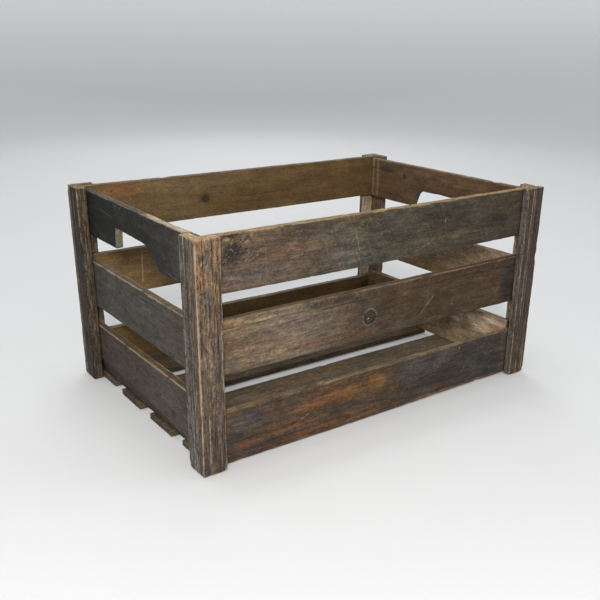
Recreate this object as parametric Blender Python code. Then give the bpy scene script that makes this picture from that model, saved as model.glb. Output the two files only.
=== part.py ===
"""Slatted wooden apple crate, nailed together from sawn boards.

Three slats close each side and each end, four boards make the floor, and every
corner is held by two upright battens nailed outside the slats: a wide one on
the long side that laps over the edge of a narrower one on the end. The top
slat of each end has a hand-hold sawn into its lower edge.

Frame: metres, +Z up, origin at the centre of the footprint on the ground.
X runs along the long side, the front long side faces -Y and the left end -X.
"""

import math
from functools import cache
from typing import NamedTuple

import bmesh
import bpy
from mathutils import Matrix, Vector

# Overall size, over the outsides of the battens
LENGTH = 0.488
WIDTH = 0.328
HEIGHT = 0.250

# Board stock
GAP = 0.0003            # left between any two pieces that touch
HALF_GAP = GAP / 2
SLAT_T = 0.0095         # side and end slats
FLOOR_T = 0.0075        # floor boards
FLOOR_LIFT = 0.0005     # floor boards and lowest side slats clear the ground by this
ARRIS = 0.0006          # chamfer on every sawn arris

END_SLAT_FOOT = FLOOR_LIFT + FLOOR_T + GAP  # the end slats stand over the floor boards

# Slat heights above the ground: bottom and top edge of each
SLATS = {
    "front": {"top": (0.1886, 0.2485), "middle": (0.1017, 0.1628), "bottom": (FLOOR_LIFT, 0.0620)},
    "back": {"top": (0.1895, 0.2487), "middle": (0.1030, 0.1625), "bottom": (FLOOR_LIFT, 0.0610)},
    "left": {
        "top": (0.1908, 0.2463), "middle": (0.0986, 0.1580), "bottom": (END_SLAT_FOOT, 0.0745),
    },
    "right": {
        "top": (0.1890, 0.2468), "middle": (0.1010, 0.1590), "bottom": (END_SLAT_FOOT, 0.0702),
    },
}

# Floor boards, front to back: near and far edge, measured from the front
FLOOR_BOARDS = ((0.0204, 0.0750), (0.0980, 0.1545), (0.1812, 0.2360), (0.2596, 0.3110))
FLOOR_PROUD = 0.0015    # the two inner boards run this far past the end slats

# Upright corner battens: width of the long-side one at each corner
LONG_BATTEN_W = {
    ("front", "left"): 0.029,
    ("front", "right"): 0.028,
    ("back", "left"): 0.031,
    ("back", "right"): 0.028,
}
END_BATTEN_REACH = 0.032    # from the outside of the long side to the end batten's free edge
END_BATTEN_DROP = 0.0004    # its top is this far below the long-side batten's

# Hand-holds: a notch with slanting sides and a flat top
HOLD_Y = -0.002         # middle of the opening
HOLD_W = 0.111          # width at the slat's lower edge
HOLD_DEPTH = 0.0245
HOLD_SLANTS = {         # how far the front and back side run in towards the middle
    "left": (0.024, 0.001),
    "right": (0.012, 0.011),
}
STEEP_SLANT = 0.008     # a side that runs in no further than this has the tight corner
HOLD_ROUND = 0.009      # top corner radius of a slanting side
HOLD_TIGHT_ROUND = 0.002
HOLD_ROUND_STEPS = 5
HOLD_CUTTER_HALF = 0.02  # reach of the cutter to each side of the slat's middle

# Bark edge along the outer lower arris of the left end's bottom slat
WANE_DEPTH = 0.0028
WANE_FRONT_RISE, WANE_BACK_RISE = 0.0045, 0.0160
WANE_CLEAR = 0.00001    # keeps the taper's corners just off the slat's faces

CUTTER_OVERRUN = 0.006  # how far a cutter runs out past the edge it cuts

# Nails
NAIL_R = 0.0009
NAIL_POINT = 0.0028     # length of the tapered point
NAIL_NECK = 0.0005      # flare under the head
NAIL_HEAD_R = 0.0017
NAIL_HEAD_T = 0.0007
NAIL_RIM_R, NAIL_RIM_Z = 0.0003, 0.00015  # chamfer around the top of the head
NAIL_SET = 0.00015      # heads are driven just under the surface
NAIL_SIDES = 10
NAIL_SHARP_ANGLE = math.radians(35)

# Clearance drilled for each nail, with a wider sink for the head
HOLE_R = 0.00125
HOLE_OVERRUN = 0.0005   # past the nail's point
SINK_R = 0.00205
SINK_DEPTH = 0.0016
DRILL_RISE = 0.002      # start of the drill above the surface

# Nail lengths and places
SIDE_NAIL_L, LAP_NAIL_L, FLOOR_NAIL_L = 0.034, 0.026, 0.022
END_NAIL_SHORT = 0.0015     # end nails stop this far short of the inner face
END_NAIL_INSET = 0.0262     # from the outside of the long side
SIDE_NAIL_Z = {"top": 0.2230, "middle": 0.1505, "bottom": 0.0192}
END_NAIL_Z = {"top": 0.2035, "middle": 0.1280, "bottom": 0.0460}
LAP_NAIL_Z = 0.2310
NAIL_STRAY = 0.0015         # most that a side or end nail strays up or down
LAP_NAIL_STRAY = 0.0020
FLOOR_NAIL_SHIFT = 0.0006   # inwards from the middle of the end slat's thickness

COLOURS = {
    "front": (0.150, 0.112, 0.084),
    "back": (0.180, 0.125, 0.068),
    "left": (0.085, 0.078, 0.072),
    "right": (0.165, 0.118, 0.076),
    "floor": (0.130, 0.098, 0.066),
    "batten": (0.175, 0.120, 0.078),
    "end_batten": (0.120, 0.098, 0.080),
    "nail": (0.055, 0.040, 0.032),
}


class Wall(NamedTuple):
    """Where a side lies on Y, or an end on X."""

    outside: float      # outer face of its battens
    batten_t: float     # how far the battens stand outside the slats
    inward: int         # direction into the crate, +1 or -1

    @property
    def face(self):
        """Plane where battens meet slats."""
        return self.outside + self.inward * self.batten_t

    def from_face(self, depth):
        return self.face + self.inward * depth

    def from_outside(self, depth):
        return self.outside + self.inward * depth


SIDES = {
    "front": Wall(outside=-WIDTH / 2, batten_t=0.0105, inward=1),
    "back": Wall(outside=WIDTH / 2, batten_t=0.0070, inward=-1),
}
ENDS = {
    "left": Wall(outside=-LENGTH / 2, batten_t=0.0130, inward=1),
    "right": Wall(outside=LENGTH / 2, batten_t=0.0100, inward=-1),
}

BOARDS = {}     # every board made so far, by name


def clear_scene():
    for obj in list(bpy.data.objects):
        bpy.data.objects.remove(obj, do_unlink=True)


def add_object(name, data, parent=None, location=(0, 0, 0)):
    obj = bpy.data.objects.new(name, data)
    bpy.context.scene.collection.objects.link(obj)
    obj.parent = parent
    obj.location = location
    return obj


def add_empty(name, parent=None):
    obj = add_object(name, None, parent)
    obj.empty_display_size = 0.03
    return obj


def material(name, colour, roughness, metallic=0.0):
    mat = bpy.data.materials.new(name)
    mat.use_nodes = True
    shader = mat.node_tree.nodes["Principled BSDF"]
    shader.inputs["Base Color"].default_value = (*colour, 1.0)
    shader.inputs["Roughness"].default_value = roughness
    shader.inputs["Metallic"].default_value = metallic
    mat.diffuse_color = (*colour, 1.0)
    return mat


def wood(name, colour, index):
    """Board material, a little lighter or darker by index so that neighbours differ."""
    tone = 1.0 + 0.10 * math.sin(2.4 * index + 0.7)
    return material(name, tuple(min(1.0, c * tone) for c in colour), roughness=0.82)


def mesh_from(bm, name):
    mesh = bpy.data.meshes.new(name)
    bm.to_mesh(mesh)
    bm.free()
    return mesh


def board(name, spans, parent, colour):
    """A sawn board over its X, Y and Z spans, its arrises taken off by a small bevel."""
    low = Vector([min(span) for span in spans])
    high = Vector([max(span) for span in spans])
    bm = bmesh.new()
    bmesh.ops.create_cube(bm, size=1.0, matrix=Matrix.Diagonal((*(high - low), 1.0)))
    mesh = mesh_from(bm, name)
    mesh.materials.append(wood(name, COLOURS[colour], index=len(BOARDS)))
    obj = add_object(name, mesh, parent, (low + high) / 2)
    bevel = obj.modifiers.new("arris", "BEVEL")
    bevel.width = ARRIS
    bevel.segments = 1
    bevel.limit_method = "ANGLE"
    BOARDS[name] = obj


def add_cutter(name, mesh):
    obj = add_object(name, mesh)
    obj.hide_render = True
    obj.display_type = "WIRE"
    return obj


def cut(obj, tool, label):
    boolean = obj.modifiers.new(label, "BOOLEAN")
    boolean.operation = "DIFFERENCE"
    boolean.solver = "EXACT"
    boolean.object = tool


def prism(name, outline, x_low, x_high):
    """A closed outline in Y and Z, extruded along X."""
    bm = bmesh.new()
    face = bm.faces.new([bm.verts.new((x_low, y, z)) for y, z in outline])
    made = bmesh.ops.extrude_face_region(bm, geom=[face])
    moved = [v for v in made["geom"] if isinstance(v, bmesh.types.BMVert)]
    bmesh.ops.translate(bm, vec=(x_high - x_low, 0, 0), verts=moved)
    bmesh.ops.recalc_face_normals(bm, faces=bm.faces)
    return mesh_from(bm, name)


def lathe(name, profile, sides):
    """A closed solid of revolution about +Z from (radius, height) points, bottom to top.

    The first and last radius are zero.
    """
    bm = bmesh.new()
    angles = [2 * math.pi * (i + 0.5) / sides for i in range(sides)]
    rings = []
    for radius, z in profile:
        if radius == 0.0:
            rings.append([bm.verts.new((0, 0, z))])
        else:
            rings.append([
                bm.verts.new((radius * math.cos(a), radius * math.sin(a), z)) for a in angles
            ])
    for low, high in zip(rings, rings[1:]):
        for i in range(sides):
            j = (i + 1) % sides
            if len(low) == 1:
                bm.faces.new((low[0], high[j], high[i]))
            elif len(high) == 1:
                bm.faces.new((low[i], low[j], high[0]))
            else:
                bm.faces.new((low[i], low[j], high[j], high[i]))
    bmesh.ops.recalc_face_normals(bm, faces=bm.faces)
    return mesh_from(bm, name)


def hold_side(z_edge, inward, slant):
    """One side of a hand-hold in Y and Z, from below the slat's edge up to the flat top."""
    foot = Vector((HOLD_Y - inward * HOLD_W / 2, z_edge))
    corner = foot + Vector((inward * slant, HOLD_DEPTH))
    along = (corner - foot).normalized()
    flat = Vector((inward, 0.0))
    radius = HOLD_ROUND if slant > STEEP_SLANT else HOLD_TIGHT_ROUND
    reach = radius * math.tan(math.acos(along.dot(flat)) / 2)
    before, after = corner - along * reach, corner + flat * reach
    points = [foot - along * CUTTER_OVERRUN]
    # Quadratic curve that rounds the corner
    for i in range(HOLD_ROUND_STEPS + 1):
        t = i / HOLD_ROUND_STEPS
        points.append(before.lerp(corner, t).lerp(corner.lerp(after, t), t))
    return points


def cut_hand_hold(end):
    z_edge = SLATS[end]["top"][0]
    front_slant, back_slant = HOLD_SLANTS[end]
    outline = hold_side(z_edge, 1, front_slant) + hold_side(z_edge, -1, back_slant)[::-1]
    x_mid = ENDS[end].from_face(SLAT_T / 2)
    name = f"{end}_hold_cutter"
    mesh = prism(name, outline, x_mid - HOLD_CUTTER_HALF, x_mid + HOLD_CUTTER_HALF)
    cut(BOARDS[f"{end}_end_slat_top"], add_cutter(name, mesh), "hand_hold")


def cut_bark_edge():
    """A shallow taper off the outer lower arris, wider towards the back."""
    x_face, z_face = ENDS["left"].from_face(HALF_GAP), SLATS["left"]["bottom"][0]
    x_in, x_out = x_face + WANE_DEPTH, x_face - CUTTER_OVERRUN
    z_low = z_face - CUTTER_OVERRUN
    bm = bmesh.new()
    rings = []
    for side, rise in (("front", WANE_FRONT_RISE), ("back", WANE_BACK_RISE)):
        z_top = z_face + rise
        outline = (
            (x_in, z_face - WANE_CLEAR), (x_face - WANE_CLEAR, z_top),
            (x_out, z_top), (x_out, z_low), (x_in, z_low),
        )
        rings.append([bm.verts.new((x, SIDES[side].face, z)) for x, z in outline])
    front, back = rings
    bm.faces.new(front)
    bm.faces.new(back[::-1])
    for i in range(len(front)):
        j = (i + 1) % len(front)
        bm.faces.new((front[i], back[i], back[j], front[j]))
    bmesh.ops.recalc_face_normals(bm, faces=bm.faces)
    tool = add_cutter("wane_cutter", mesh_from(bm, "wane_cutter"))
    cut(BOARDS["left_end_slat_bottom"], tool, "bark_edge")


@cache
def nail_mesh(length):
    """Round wire nail, head at the origin and point towards -Z; shared between equal nails."""
    size = round(length * 1e4)  # tenths of a millimetre
    profile = [
        (0.0, -length),
        (NAIL_R, -length + NAIL_POINT),
        (NAIL_R, -NAIL_HEAD_T - NAIL_NECK),
        (NAIL_HEAD_R, -NAIL_HEAD_T),
        (NAIL_HEAD_R, -NAIL_RIM_Z),
        (NAIL_HEAD_R - NAIL_RIM_R, 0.0),
        (0.0, 0.0),
    ]
    mesh = lathe(f"nail_{size}", profile, NAIL_SIDES)
    mesh.materials.append(
        material(f"nail_steel_{size}", COLOURS["nail"], roughness=0.62, metallic=0.85)
    )
    mesh.shade_smooth()
    mesh.set_sharp_from_angle(angle=NAIL_SHARP_ANGLE)
    return mesh


def drill_mesh(name, length):
    """Clearance hole and head sink for a nail, surface at z = 0."""
    reach = length + NAIL_SET + HOLE_OVERRUN
    profile = [
        (0.0, -reach),
        (HOLE_R, -reach),
        (HOLE_R, -SINK_DEPTH),
        (SINK_R, -SINK_DEPTH),
        (SINK_R, DRILL_RISE),
        (0.0, DRILL_RISE),
    ]
    return lathe(name, profile, NAIL_SIDES)


def drive_nail(name, at, along, length, pieces, parent):
    """Drives a nail in at `at` towards the unit vector `along`, and drills the named boards."""
    along = Vector(along)
    nail = add_object(name, nail_mesh(length), parent, Vector(at) + along * NAIL_SET)
    drill_name = "drill_" + name
    drill = add_cutter(drill_name, drill_mesh(drill_name, length))
    drill.location = at
    for obj in (nail, drill):
        obj.rotation_mode = "QUATERNION"
        obj.rotation_quaternion = Vector((0, 0, -1)).rotation_difference(along)
    for piece in pieces:
        cut(BOARDS[piece], drill, name)


def build_side_slats(groups):
    """Long-side slats run the full length, so their ends lie under the end battens."""
    x_span = [wall.from_face(HALF_GAP) for wall in ENDS.values()]
    for side, wall in SIDES.items():
        y_span = (wall.from_face(HALF_GAP), wall.from_face(SLAT_T))
        for level, z_span in SLATS[side].items():
            board(f"{side}_slat_{level}", (x_span, y_span, z_span), groups[side], side)


def build_end_slats(groups):
    """End slats fit between the long sides."""
    y_span = [wall.from_face(SLAT_T + GAP) for wall in SIDES.values()]
    for end, wall in ENDS.items():
        x_span = (wall.from_face(HALF_GAP), wall.from_face(SLAT_T))
        for level, z_span in SLATS[end].items():
            board(f"{end}_end_slat_{level}", (x_span, y_span, z_span), groups[end], end)


def build_floor(group):
    """Floor boards pass under the end slats."""
    front = SIDES["front"]
    for i, edges in enumerate(FLOOR_BOARDS, 1):
        inset = -FLOOR_PROUD if i in (2, 3) else HALF_GAP
        spans = (
            [wall.from_face(inset) for wall in ENDS.values()],
            [front.from_outside(edge) for edge in edges],
            (FLOOR_LIFT, FLOOR_LIFT + FLOOR_T),
        )
        board(f"floor_board_{i}", spans, group, "floor")


def build_battens(group):
    """The long-side batten covers the end one's edge at each corner."""
    for (side, end), width in LONG_BATTEN_W.items():
        x_wall, y_wall = ENDS[end], SIDES[side]
        spans = (
            (x_wall.outside, x_wall.from_outside(width)),
            (y_wall.outside, y_wall.from_face(-HALF_GAP)),
            (0.0, HEIGHT),
        )
        board(f"{side}_batten_{end}", spans, group, "batten")
        spans = (
            (x_wall.outside, x_wall.from_face(-HALF_GAP)),
            (y_wall.from_face(HALF_GAP), y_wall.from_outside(END_BATTEN_REACH)),
            (0.0, HEIGHT - END_BATTEN_DROP),
        )
        board(f"{end}_end_batten_{side}", spans, group, "end_batten")


def nail_corner(c, side, end, groups):
    x_wall, y_wall = ENDS[end], SIDES[side]
    along_x, along_y = (x_wall.inward, 0, 0), (0, y_wall.inward, 0)
    long_batten, end_batten = f"{side}_batten_{end}", f"{end}_end_batten_{side}"
    for k, level in enumerate(("top", "middle", "bottom")):
        end_slat = f"{end}_end_slat_{level}"
        # Through the long-side batten and slat into the end slat's end grain
        z = SIDE_NAIL_Z[level] + NAIL_STRAY * math.sin(3 * c + 2 * k)
        drive_nail(
            f"nail_{side}_{end}_{level}",
            at=(x_wall.from_face(SLAT_T / 2), y_wall.outside, z),
            along=along_y,
            length=SIDE_NAIL_L,
            pieces=(long_batten, f"{side}_slat_{level}", end_slat),
            parent=groups[side],
        )
        # Through the end batten and into the end slat
        z = END_NAIL_Z[level] + NAIL_STRAY * math.cos(2 * c + 3 * k)
        drive_nail(
            f"nail_{end}_end_{side}_{level}",
            at=(x_wall.outside, y_wall.from_outside(END_NAIL_INSET), z),
            along=along_x,
            length=x_wall.batten_t + SLAT_T - END_NAIL_SHORT,
            pieces=(end_batten, end_slat),
            parent=groups[end],
        )
    # Through the long-side batten into the edge of the end batten
    z = LAP_NAIL_Z + LAP_NAIL_STRAY * math.sin(4 * c)
    drive_nail(
        f"nail_lap_{side}_{end}",
        at=(x_wall.from_outside(x_wall.batten_t / 2), y_wall.outside, z),
        along=along_y,
        length=LAP_NAIL_L,
        pieces=(long_batten, end_batten),
        parent=groups["corners"],
    )


def nail_floor(group):
    """Up through each floor board into the lower edge of the end slats."""
    for i, edges in enumerate(FLOOR_BOARDS, 1):
        y = SIDES["front"].from_outside(sum(edges) / 2)
        for end, wall in ENDS.items():
            drive_nail(
                f"nail_floor_{end}_{i}",
                at=(wall.from_face(SLAT_T / 2 + FLOOR_NAIL_SHIFT), y, FLOOR_LIFT),
                along=(0, 0, 1),
                length=FLOOR_NAIL_L,
                pieces=(f"floor_board_{i}", f"{end}_end_slat_bottom"),
                parent=group,
            )


def build():
    clear_scene()
    crate = add_empty("crate")
    groups = {
        part: add_empty(part + "_group", crate)
        for part in ("front", "back", "left", "right", "floor", "corners")
    }
    # Board tones follow this order
    build_side_slats(groups)
    build_end_slats(groups)
    build_floor(groups["floor"])
    build_battens(groups["corners"])

    for end in ENDS:
        cut_hand_hold(end)
    cut_bark_edge()

    for c, (side, end) in enumerate(LONG_BATTEN_W):
        nail_corner(c, side, end, groups)
    nail_floor(groups["floor"])
    bpy.context.view_layer.update()


build()
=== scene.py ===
"""A slatted apple crate of rough-sawn, worn boards, with procedural wood and rusty nails.

The crate stands on z = 0. Its long sides face -Y (front) and +Y (back), its ends face -X (left)
and +X (right), and its corner battens are on the outside. Each board of the CAD is replaced by
a mesh of its own. Board sizes are in mm, the stage is in metres.
"""

import math
from dataclasses import dataclass
from functools import reduce
from itertools import product
from typing import NamedTuple

import bpy
import numpy as np
from mathutils import Matrix, Vector


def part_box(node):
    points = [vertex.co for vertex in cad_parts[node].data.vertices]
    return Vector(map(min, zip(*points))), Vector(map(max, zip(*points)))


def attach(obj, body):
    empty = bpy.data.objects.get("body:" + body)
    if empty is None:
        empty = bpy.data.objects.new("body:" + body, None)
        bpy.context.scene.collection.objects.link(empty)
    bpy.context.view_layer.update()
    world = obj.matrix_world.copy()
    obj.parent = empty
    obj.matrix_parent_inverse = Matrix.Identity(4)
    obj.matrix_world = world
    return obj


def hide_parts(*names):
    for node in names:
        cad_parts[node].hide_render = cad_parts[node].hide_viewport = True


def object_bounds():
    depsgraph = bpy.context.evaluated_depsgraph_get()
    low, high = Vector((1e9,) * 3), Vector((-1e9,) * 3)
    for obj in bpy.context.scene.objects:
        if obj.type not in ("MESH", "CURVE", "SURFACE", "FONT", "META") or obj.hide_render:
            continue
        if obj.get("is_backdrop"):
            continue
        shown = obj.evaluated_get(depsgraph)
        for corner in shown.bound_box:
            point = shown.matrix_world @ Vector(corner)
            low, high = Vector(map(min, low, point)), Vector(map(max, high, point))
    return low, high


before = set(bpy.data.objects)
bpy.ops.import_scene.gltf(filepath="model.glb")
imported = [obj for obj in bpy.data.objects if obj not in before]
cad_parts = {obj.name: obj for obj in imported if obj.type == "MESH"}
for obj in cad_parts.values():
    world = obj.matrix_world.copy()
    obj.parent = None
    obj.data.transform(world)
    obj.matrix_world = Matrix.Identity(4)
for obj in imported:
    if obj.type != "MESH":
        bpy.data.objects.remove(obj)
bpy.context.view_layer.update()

MM = 0.001
AXES = {"X": np.array((1.0, 0, 0)), "Y": np.array((0, 1.0, 0)), "Z": np.array((0, 0, 1.0))}
FACING = {"front": "-Y", "back": "+Y", "left": "-X", "right": "+X", "floor": "+Z"}
CRATE_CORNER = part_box("front_batten_left")[0]  # left and front outer planes meet here

END_RADIUS = 1.1  # rounding of a board's ends
END_TURNS = (90, 68, 45, 22)  # degrees round that rounding, from the tip inwards
CORNER_STEPS = 5  # segments round each long arris
CAP_SHARES = (0.78, 0.56, 0.36, 0.2, 0.1)  # sizes of the rings that close an end
CRACK_GAP = 0.42  # half the width of a crack's groove
WOOD_GAIN = 0.97  # from screen colour to the wood's reflectance


# ---------------------------------------------------------------- noise and colour

def lattice(x, y, z, seed):
    """Hash of whole-number places, -1 to 1."""
    mixed = (x * 374761393 + y * 668265263 + z * 1440662683 + seed * 97471) & 0xFFFFFFFF
    mixed = ((mixed ^ (mixed >> 13)) * 1274126177) & 0xFFFFFFFF
    mixed = ((mixed ^ (mixed >> 15)) * 2246822519) & 0xFFFFFFFF
    return ((mixed ^ (mixed >> 16)) & 0xFFFFFF) / float(0xFFFFFF) * 2 - 1


def noise(x, y, z, seed):
    """Smooth value noise, about -1 to 1."""
    corners = []
    for part in np.broadcast_arrays(*(np.asarray(part, float) for part in (x, y, z))):
        whole = np.floor(part)
        t = part - whole
        t = t * t * t * (t * (6 * t - 15) + 10)
        whole = whole.astype(np.int64)
        corners.append(((whole, 1 - t), (whole + 1, t)))
    total = 0.0
    for (ix, share_x), (iy, share_y), (iz, share_z) in product(*corners):
        total = total + share_x * share_y * share_z * lattice(ix, iy, iz, seed)
    return total


def fractal(x, y, z, seed, octaves=3, gain=0.5):
    total, strength, whole = 0.0, 1.0, 0.0
    for k in range(octaves):
        total = total + strength * noise(x * 2**k, y * 2**k, z * 2**k, seed + 31 * k)
        whole += strength
        strength *= gain
    return total / whole


def smooth(low, high, value):
    t = np.clip((value - low) / (high - low), 0, 1)
    return t * t * (3 - 2 * t)


def tone(*levels):
    """Linear wood colour from 0-255 screen levels, all above 10."""
    return ((np.array(levels) / 255 + 0.055) / 1.055) ** 2.4 * WOOD_GAIN


def along_stops(stops, share):
    """Colours or gains between (share, value) stops; a share runs from -1 to 1 on the board."""
    shares, values = zip(*stops)
    values = np.array([np.broadcast_to(value, 3) for value in values], float)
    return np.stack([np.interp(share, shares, values[:, k]) for k in range(3)], 1)


# ---------------------------------------------------------------- places and surface fields

class CratePlace:
    """Turns places on the crate into a slat's own coordinates.

    Places are in mm: from the crate's left outer plane (front outer plane for an end slat),
    then up from z = 0.
    """

    def __init__(self, node):
        self.low, self.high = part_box(node)
        self.axis = 1 if "_end_" in node else 0

    def along(self, distance):
        middle = (self.low[self.axis] + self.high[self.axis]) / 2
        return (CRATE_CORNER[self.axis] + distance * MM - middle) / MM

    def across(self, height):
        return (height * MM - (self.low[2] + self.high[2]) / 2) / MM

    def row(self, distance, height, *rest):
        return (self.along(distance), self.across(height), *rest)

    def rows(self, *rows):
        return [self.row(*row) for row in rows]

    def lines(self, *rows):
        """Rows that start with two places."""
        return [self.row(*row[:2]) + self.row(*row[2:]) for row in rows]


class Skin:
    """The points of one board before relief, with the fields worked out on them."""

    def __init__(self, points):
        self.along, self.across, self.outward = points.T
        self.depth = np.zeros(len(points))
        self.dark = np.zeros(len(points))

    def noise(self, length, width, seed, octaves=3, gain=0.5):
        """Noise with features of a given length along the grain and width across it."""
        return fractal(self.along / length, self.across / width, self.outward / width,
                       seed, octaves, gain)

    def face_noise(self, length, width, seed, octaves=3, gain=0.5):
        """The same, but constant through the thickness."""
        return fractal(self.along / length, self.across / width, 0.5, seed, octaves, gain)

    def blob(self, region, seed, ragged=0.5, soft=0.35):
        """0 to 1 mask of a ragged ellipse: (along, across, half length, half width)."""
        along, across, half_length, half_width = region
        reach = np.sqrt(((self.along - along) / half_length) ** 2
                        + ((self.across - across) / half_width) ** 2)
        edge = self.face_noise(0.45 * half_length + 3, 0.45 * half_width + 3, seed, 4, 0.6)
        return 1 - smooth(1 - soft, 1 + soft, reach + ragged * edge)

    def paint(self, mask, screen_colour, strength=1.0, gain=1.0):
        cover = (np.clip(mask, 0, 1) * strength)[:, None]
        self.base = self.base * (1 - cover) + (tone(*screen_colour) * gain)[None, :] * cover


# ---------------------------------------------------------------- boards

class Crack(NamedTuple):
    """A split along the grain, round a middle or running in from one end (-1 or 1)."""

    across: float
    length: float
    depth: float
    middle: float = None
    end: int = None
    wander: float = 0.5
    side: int = 1  # 1 on the outer face, -1 on the inner


def board_faces(stations, loop, right_handed):
    """Quads of the swept sides and end rings, and the polygon that closes each end."""
    grid = np.arange(stations * loop).reshape(stations, loop)
    after = np.roll(grid, -1, 1)
    quads = [np.stack([grid[:-1], after[:-1], after[1:], grid[1:]], -1).reshape(-1, 4)]
    first = grid.size
    fans = []
    for end, flip in ((0, True), (-1, False)):
        previous = grid[end]
        for _ in CAP_SHARES:
            ring = np.arange(first, first + loop)
            first += loop
            strip = np.stack([previous, np.roll(previous, -1), np.roll(ring, -1), ring], -1)
            quads.append(strip[:, ::-1] if flip else strip)
            previous = ring
        fans.append(previous[::-1] if flip else previous)
    quads = np.concatenate(quads)
    if right_handed:
        quads = quads[:, ::-1]
        fans = [fan[::-1] for fan in fans]
    return quads, fans


@dataclass
class Board:
    """One sawn board in place of a CAD board, swept along its grain.

    Its coordinates are in mm from the middle of the CAD box: along the grain, across the
    width, and outwards through the thickness. Relief only cuts inwards.
    """

    node: str
    seed: int
    material: object
    paint: object  # paint(board, skin)
    edge_radius: float
    waver: tuple  # unevenness of the high and low long edges
    worn: tuple  # wear of the high and low arrises
    saw: float  # strength of saw marks
    streak: float  # strength of colour streaks
    flecks: float  # amount of pale flecks
    cracks: tuple
    chips: tuple  # (along, across, outward, radius, depth)
    step: float = 2.0  # spacing of stations along the grain
    cell: float = 0.9  # spacing of points round the section
    edge_variation: float = 0.7
    rough: float = 1.0
    relief: float = 1.0  # strength of grain ridges
    bow: float = 0.0  # bend outwards
    sag: float = 0.0  # bend across the width
    end_waver: float = 0.5
    hold: tuple = None  # hand-hold cut: (mm behind the crate's front, mm above the low edge)
    hold_stations: tuple = ()  # closer stations: (from, to, count)
    shape: object = None  # shape(board, skin) adds to depth and dark

    def __post_init__(self):
        low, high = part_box(self.node)
        self.centre = np.array((low + high) / 2)
        size = np.array(high - low) / MM
        sign, thick_axis = FACING[self.node.split("_")[0]]
        is_end = "_end_" in self.node
        if "batten" in self.node:
            grain, self.slot = "Z", "end_batten" if is_end else "long_batten"
        else:
            grain, self.slot = "Y" if is_end else "X", self.node.rsplit("_", 1)[0]
        width_axis = ({"X", "Y", "Z"} - {grain, thick_axis}).pop()
        outward = AXES[thick_axis] * (-1.0 if sign == "-" else 1.0)
        self.axes = np.stack([AXES[grain], AXES[width_axis], outward])
        self.length, self.width, self.thick = (float(abs(size @ axis)) for axis in self.axes)
        self.place = CratePlace(self.node)

    def from_front(self, along):
        """Distance behind the crate's front plane, on an end slat."""
        return along + (self.centre[1] - CRATE_CORNER[1]) / MM

    def hold_line(self, along):
        """The low edge as the hand-hold cuts it; far below the board elsewhere."""
        distances, heights = zip(*self.hold)
        height = np.interp(self.from_front(along), distances, heights, left=-5.0, right=-5.0)
        return np.where(height > -1, -self.width / 2 + height, -self.width)

    def seams(self):
        """Inner edges of the battens across a slat, each with the way to the clear part."""
        if "slat" not in self.node:
            return []
        stem = self.node.split("slat")[0] + "batten_"
        axis = self.place.axis
        first, last = ("front", "back") if axis else ("left", "right")
        return [((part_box(stem + first)[1][axis] - self.centre[axis]) / MM, 1),
                ((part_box(stem + last)[0][axis] - self.centre[axis]) / MM, -1)]

    def nail_ends(self):
        """Nail ends in the board's faces: along, across, and 1 outer or -1 inner face."""
        found = []
        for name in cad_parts:
            if not name.startswith("nail_"):
                continue
            low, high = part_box(name)
            axis = int(np.argmax(np.array(high - low)))
            if not self.axes[2][axis]:
                continue
            for end in (low[axis], high[axis]):
                tip = np.array((low + high) / 2)
                tip[axis] = end
                along, across, outward = self.axes @ ((tip - self.centre) / MM)
                inside = abs(along) < self.length / 2 and abs(across) < self.width / 2
                if inside and abs(abs(outward) - self.thick / 2) < 0.4:
                    found.append((along, across, 1 if outward > 0 else -1))
        return found

    def stations(self):
        """Places along the board, with the inset and lengthways tilt of its rounded ends."""
        half = self.length / 2
        steps = max(8, int(round(2 * half / self.step)))
        along = np.linspace(-half + END_RADIUS, half - END_RADIUS, steps + 1)
        if self.hold_stations:
            extra = [np.linspace(self.place.along(start), self.place.along(end), count)
                     for start, end, count in self.hold_stations]
            along = np.unique(np.concatenate([along, *extra]))
            along = along[np.concatenate([[True], np.diff(along) > 0.12])]
        turn = np.radians(END_TURNS)
        tip = -half + END_RADIUS * (1 - np.sin(turn))
        tip_inset = END_RADIUS * (1 - np.cos(turn))
        flat = np.zeros(len(along))
        inset = np.concatenate([tip_inset, flat, tip_inset[::-1]])
        tilt = np.concatenate([-np.sin(turn), flat, np.sin(turn)[::-1]])
        return np.concatenate([tip, along, -tip[::-1]]), inset, tilt

    def edge_cut(self, along, waver, layer, seed):
        """How far a long edge is off its full width."""
        slow = 0.5 + 0.5 * fractal(along / 70.0, layer, self.seed, seed)
        return waver * slow + 0.12 * (1 + noise(along / 6.0, layer + 2, self.seed, seed + 1))

    def end_cut(self, across, outward, sign):
        """How far the face of an end is off its full length."""
        uneven = fractal(across / 8.0, outward / 5.0, sign * 3.3, self.seed + 17, 2)
        return self.end_waver * (0.5 + 0.5 * uneven)

    def corner_radius(self, along, corner):
        seed = self.seed * 7 + corner
        slow = fractal(along / 37.0, corner * 3.1, 0.5, seed)
        nicks = np.maximum(0, noise(along / 9.0, corner * 5.7, 2.5, seed + 3))
        radius = self.edge_radius * (1 + self.edge_variation * slow) + 0.35 * nicks
        return np.clip(radius, 0.35, self.thick * 0.42)

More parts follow.
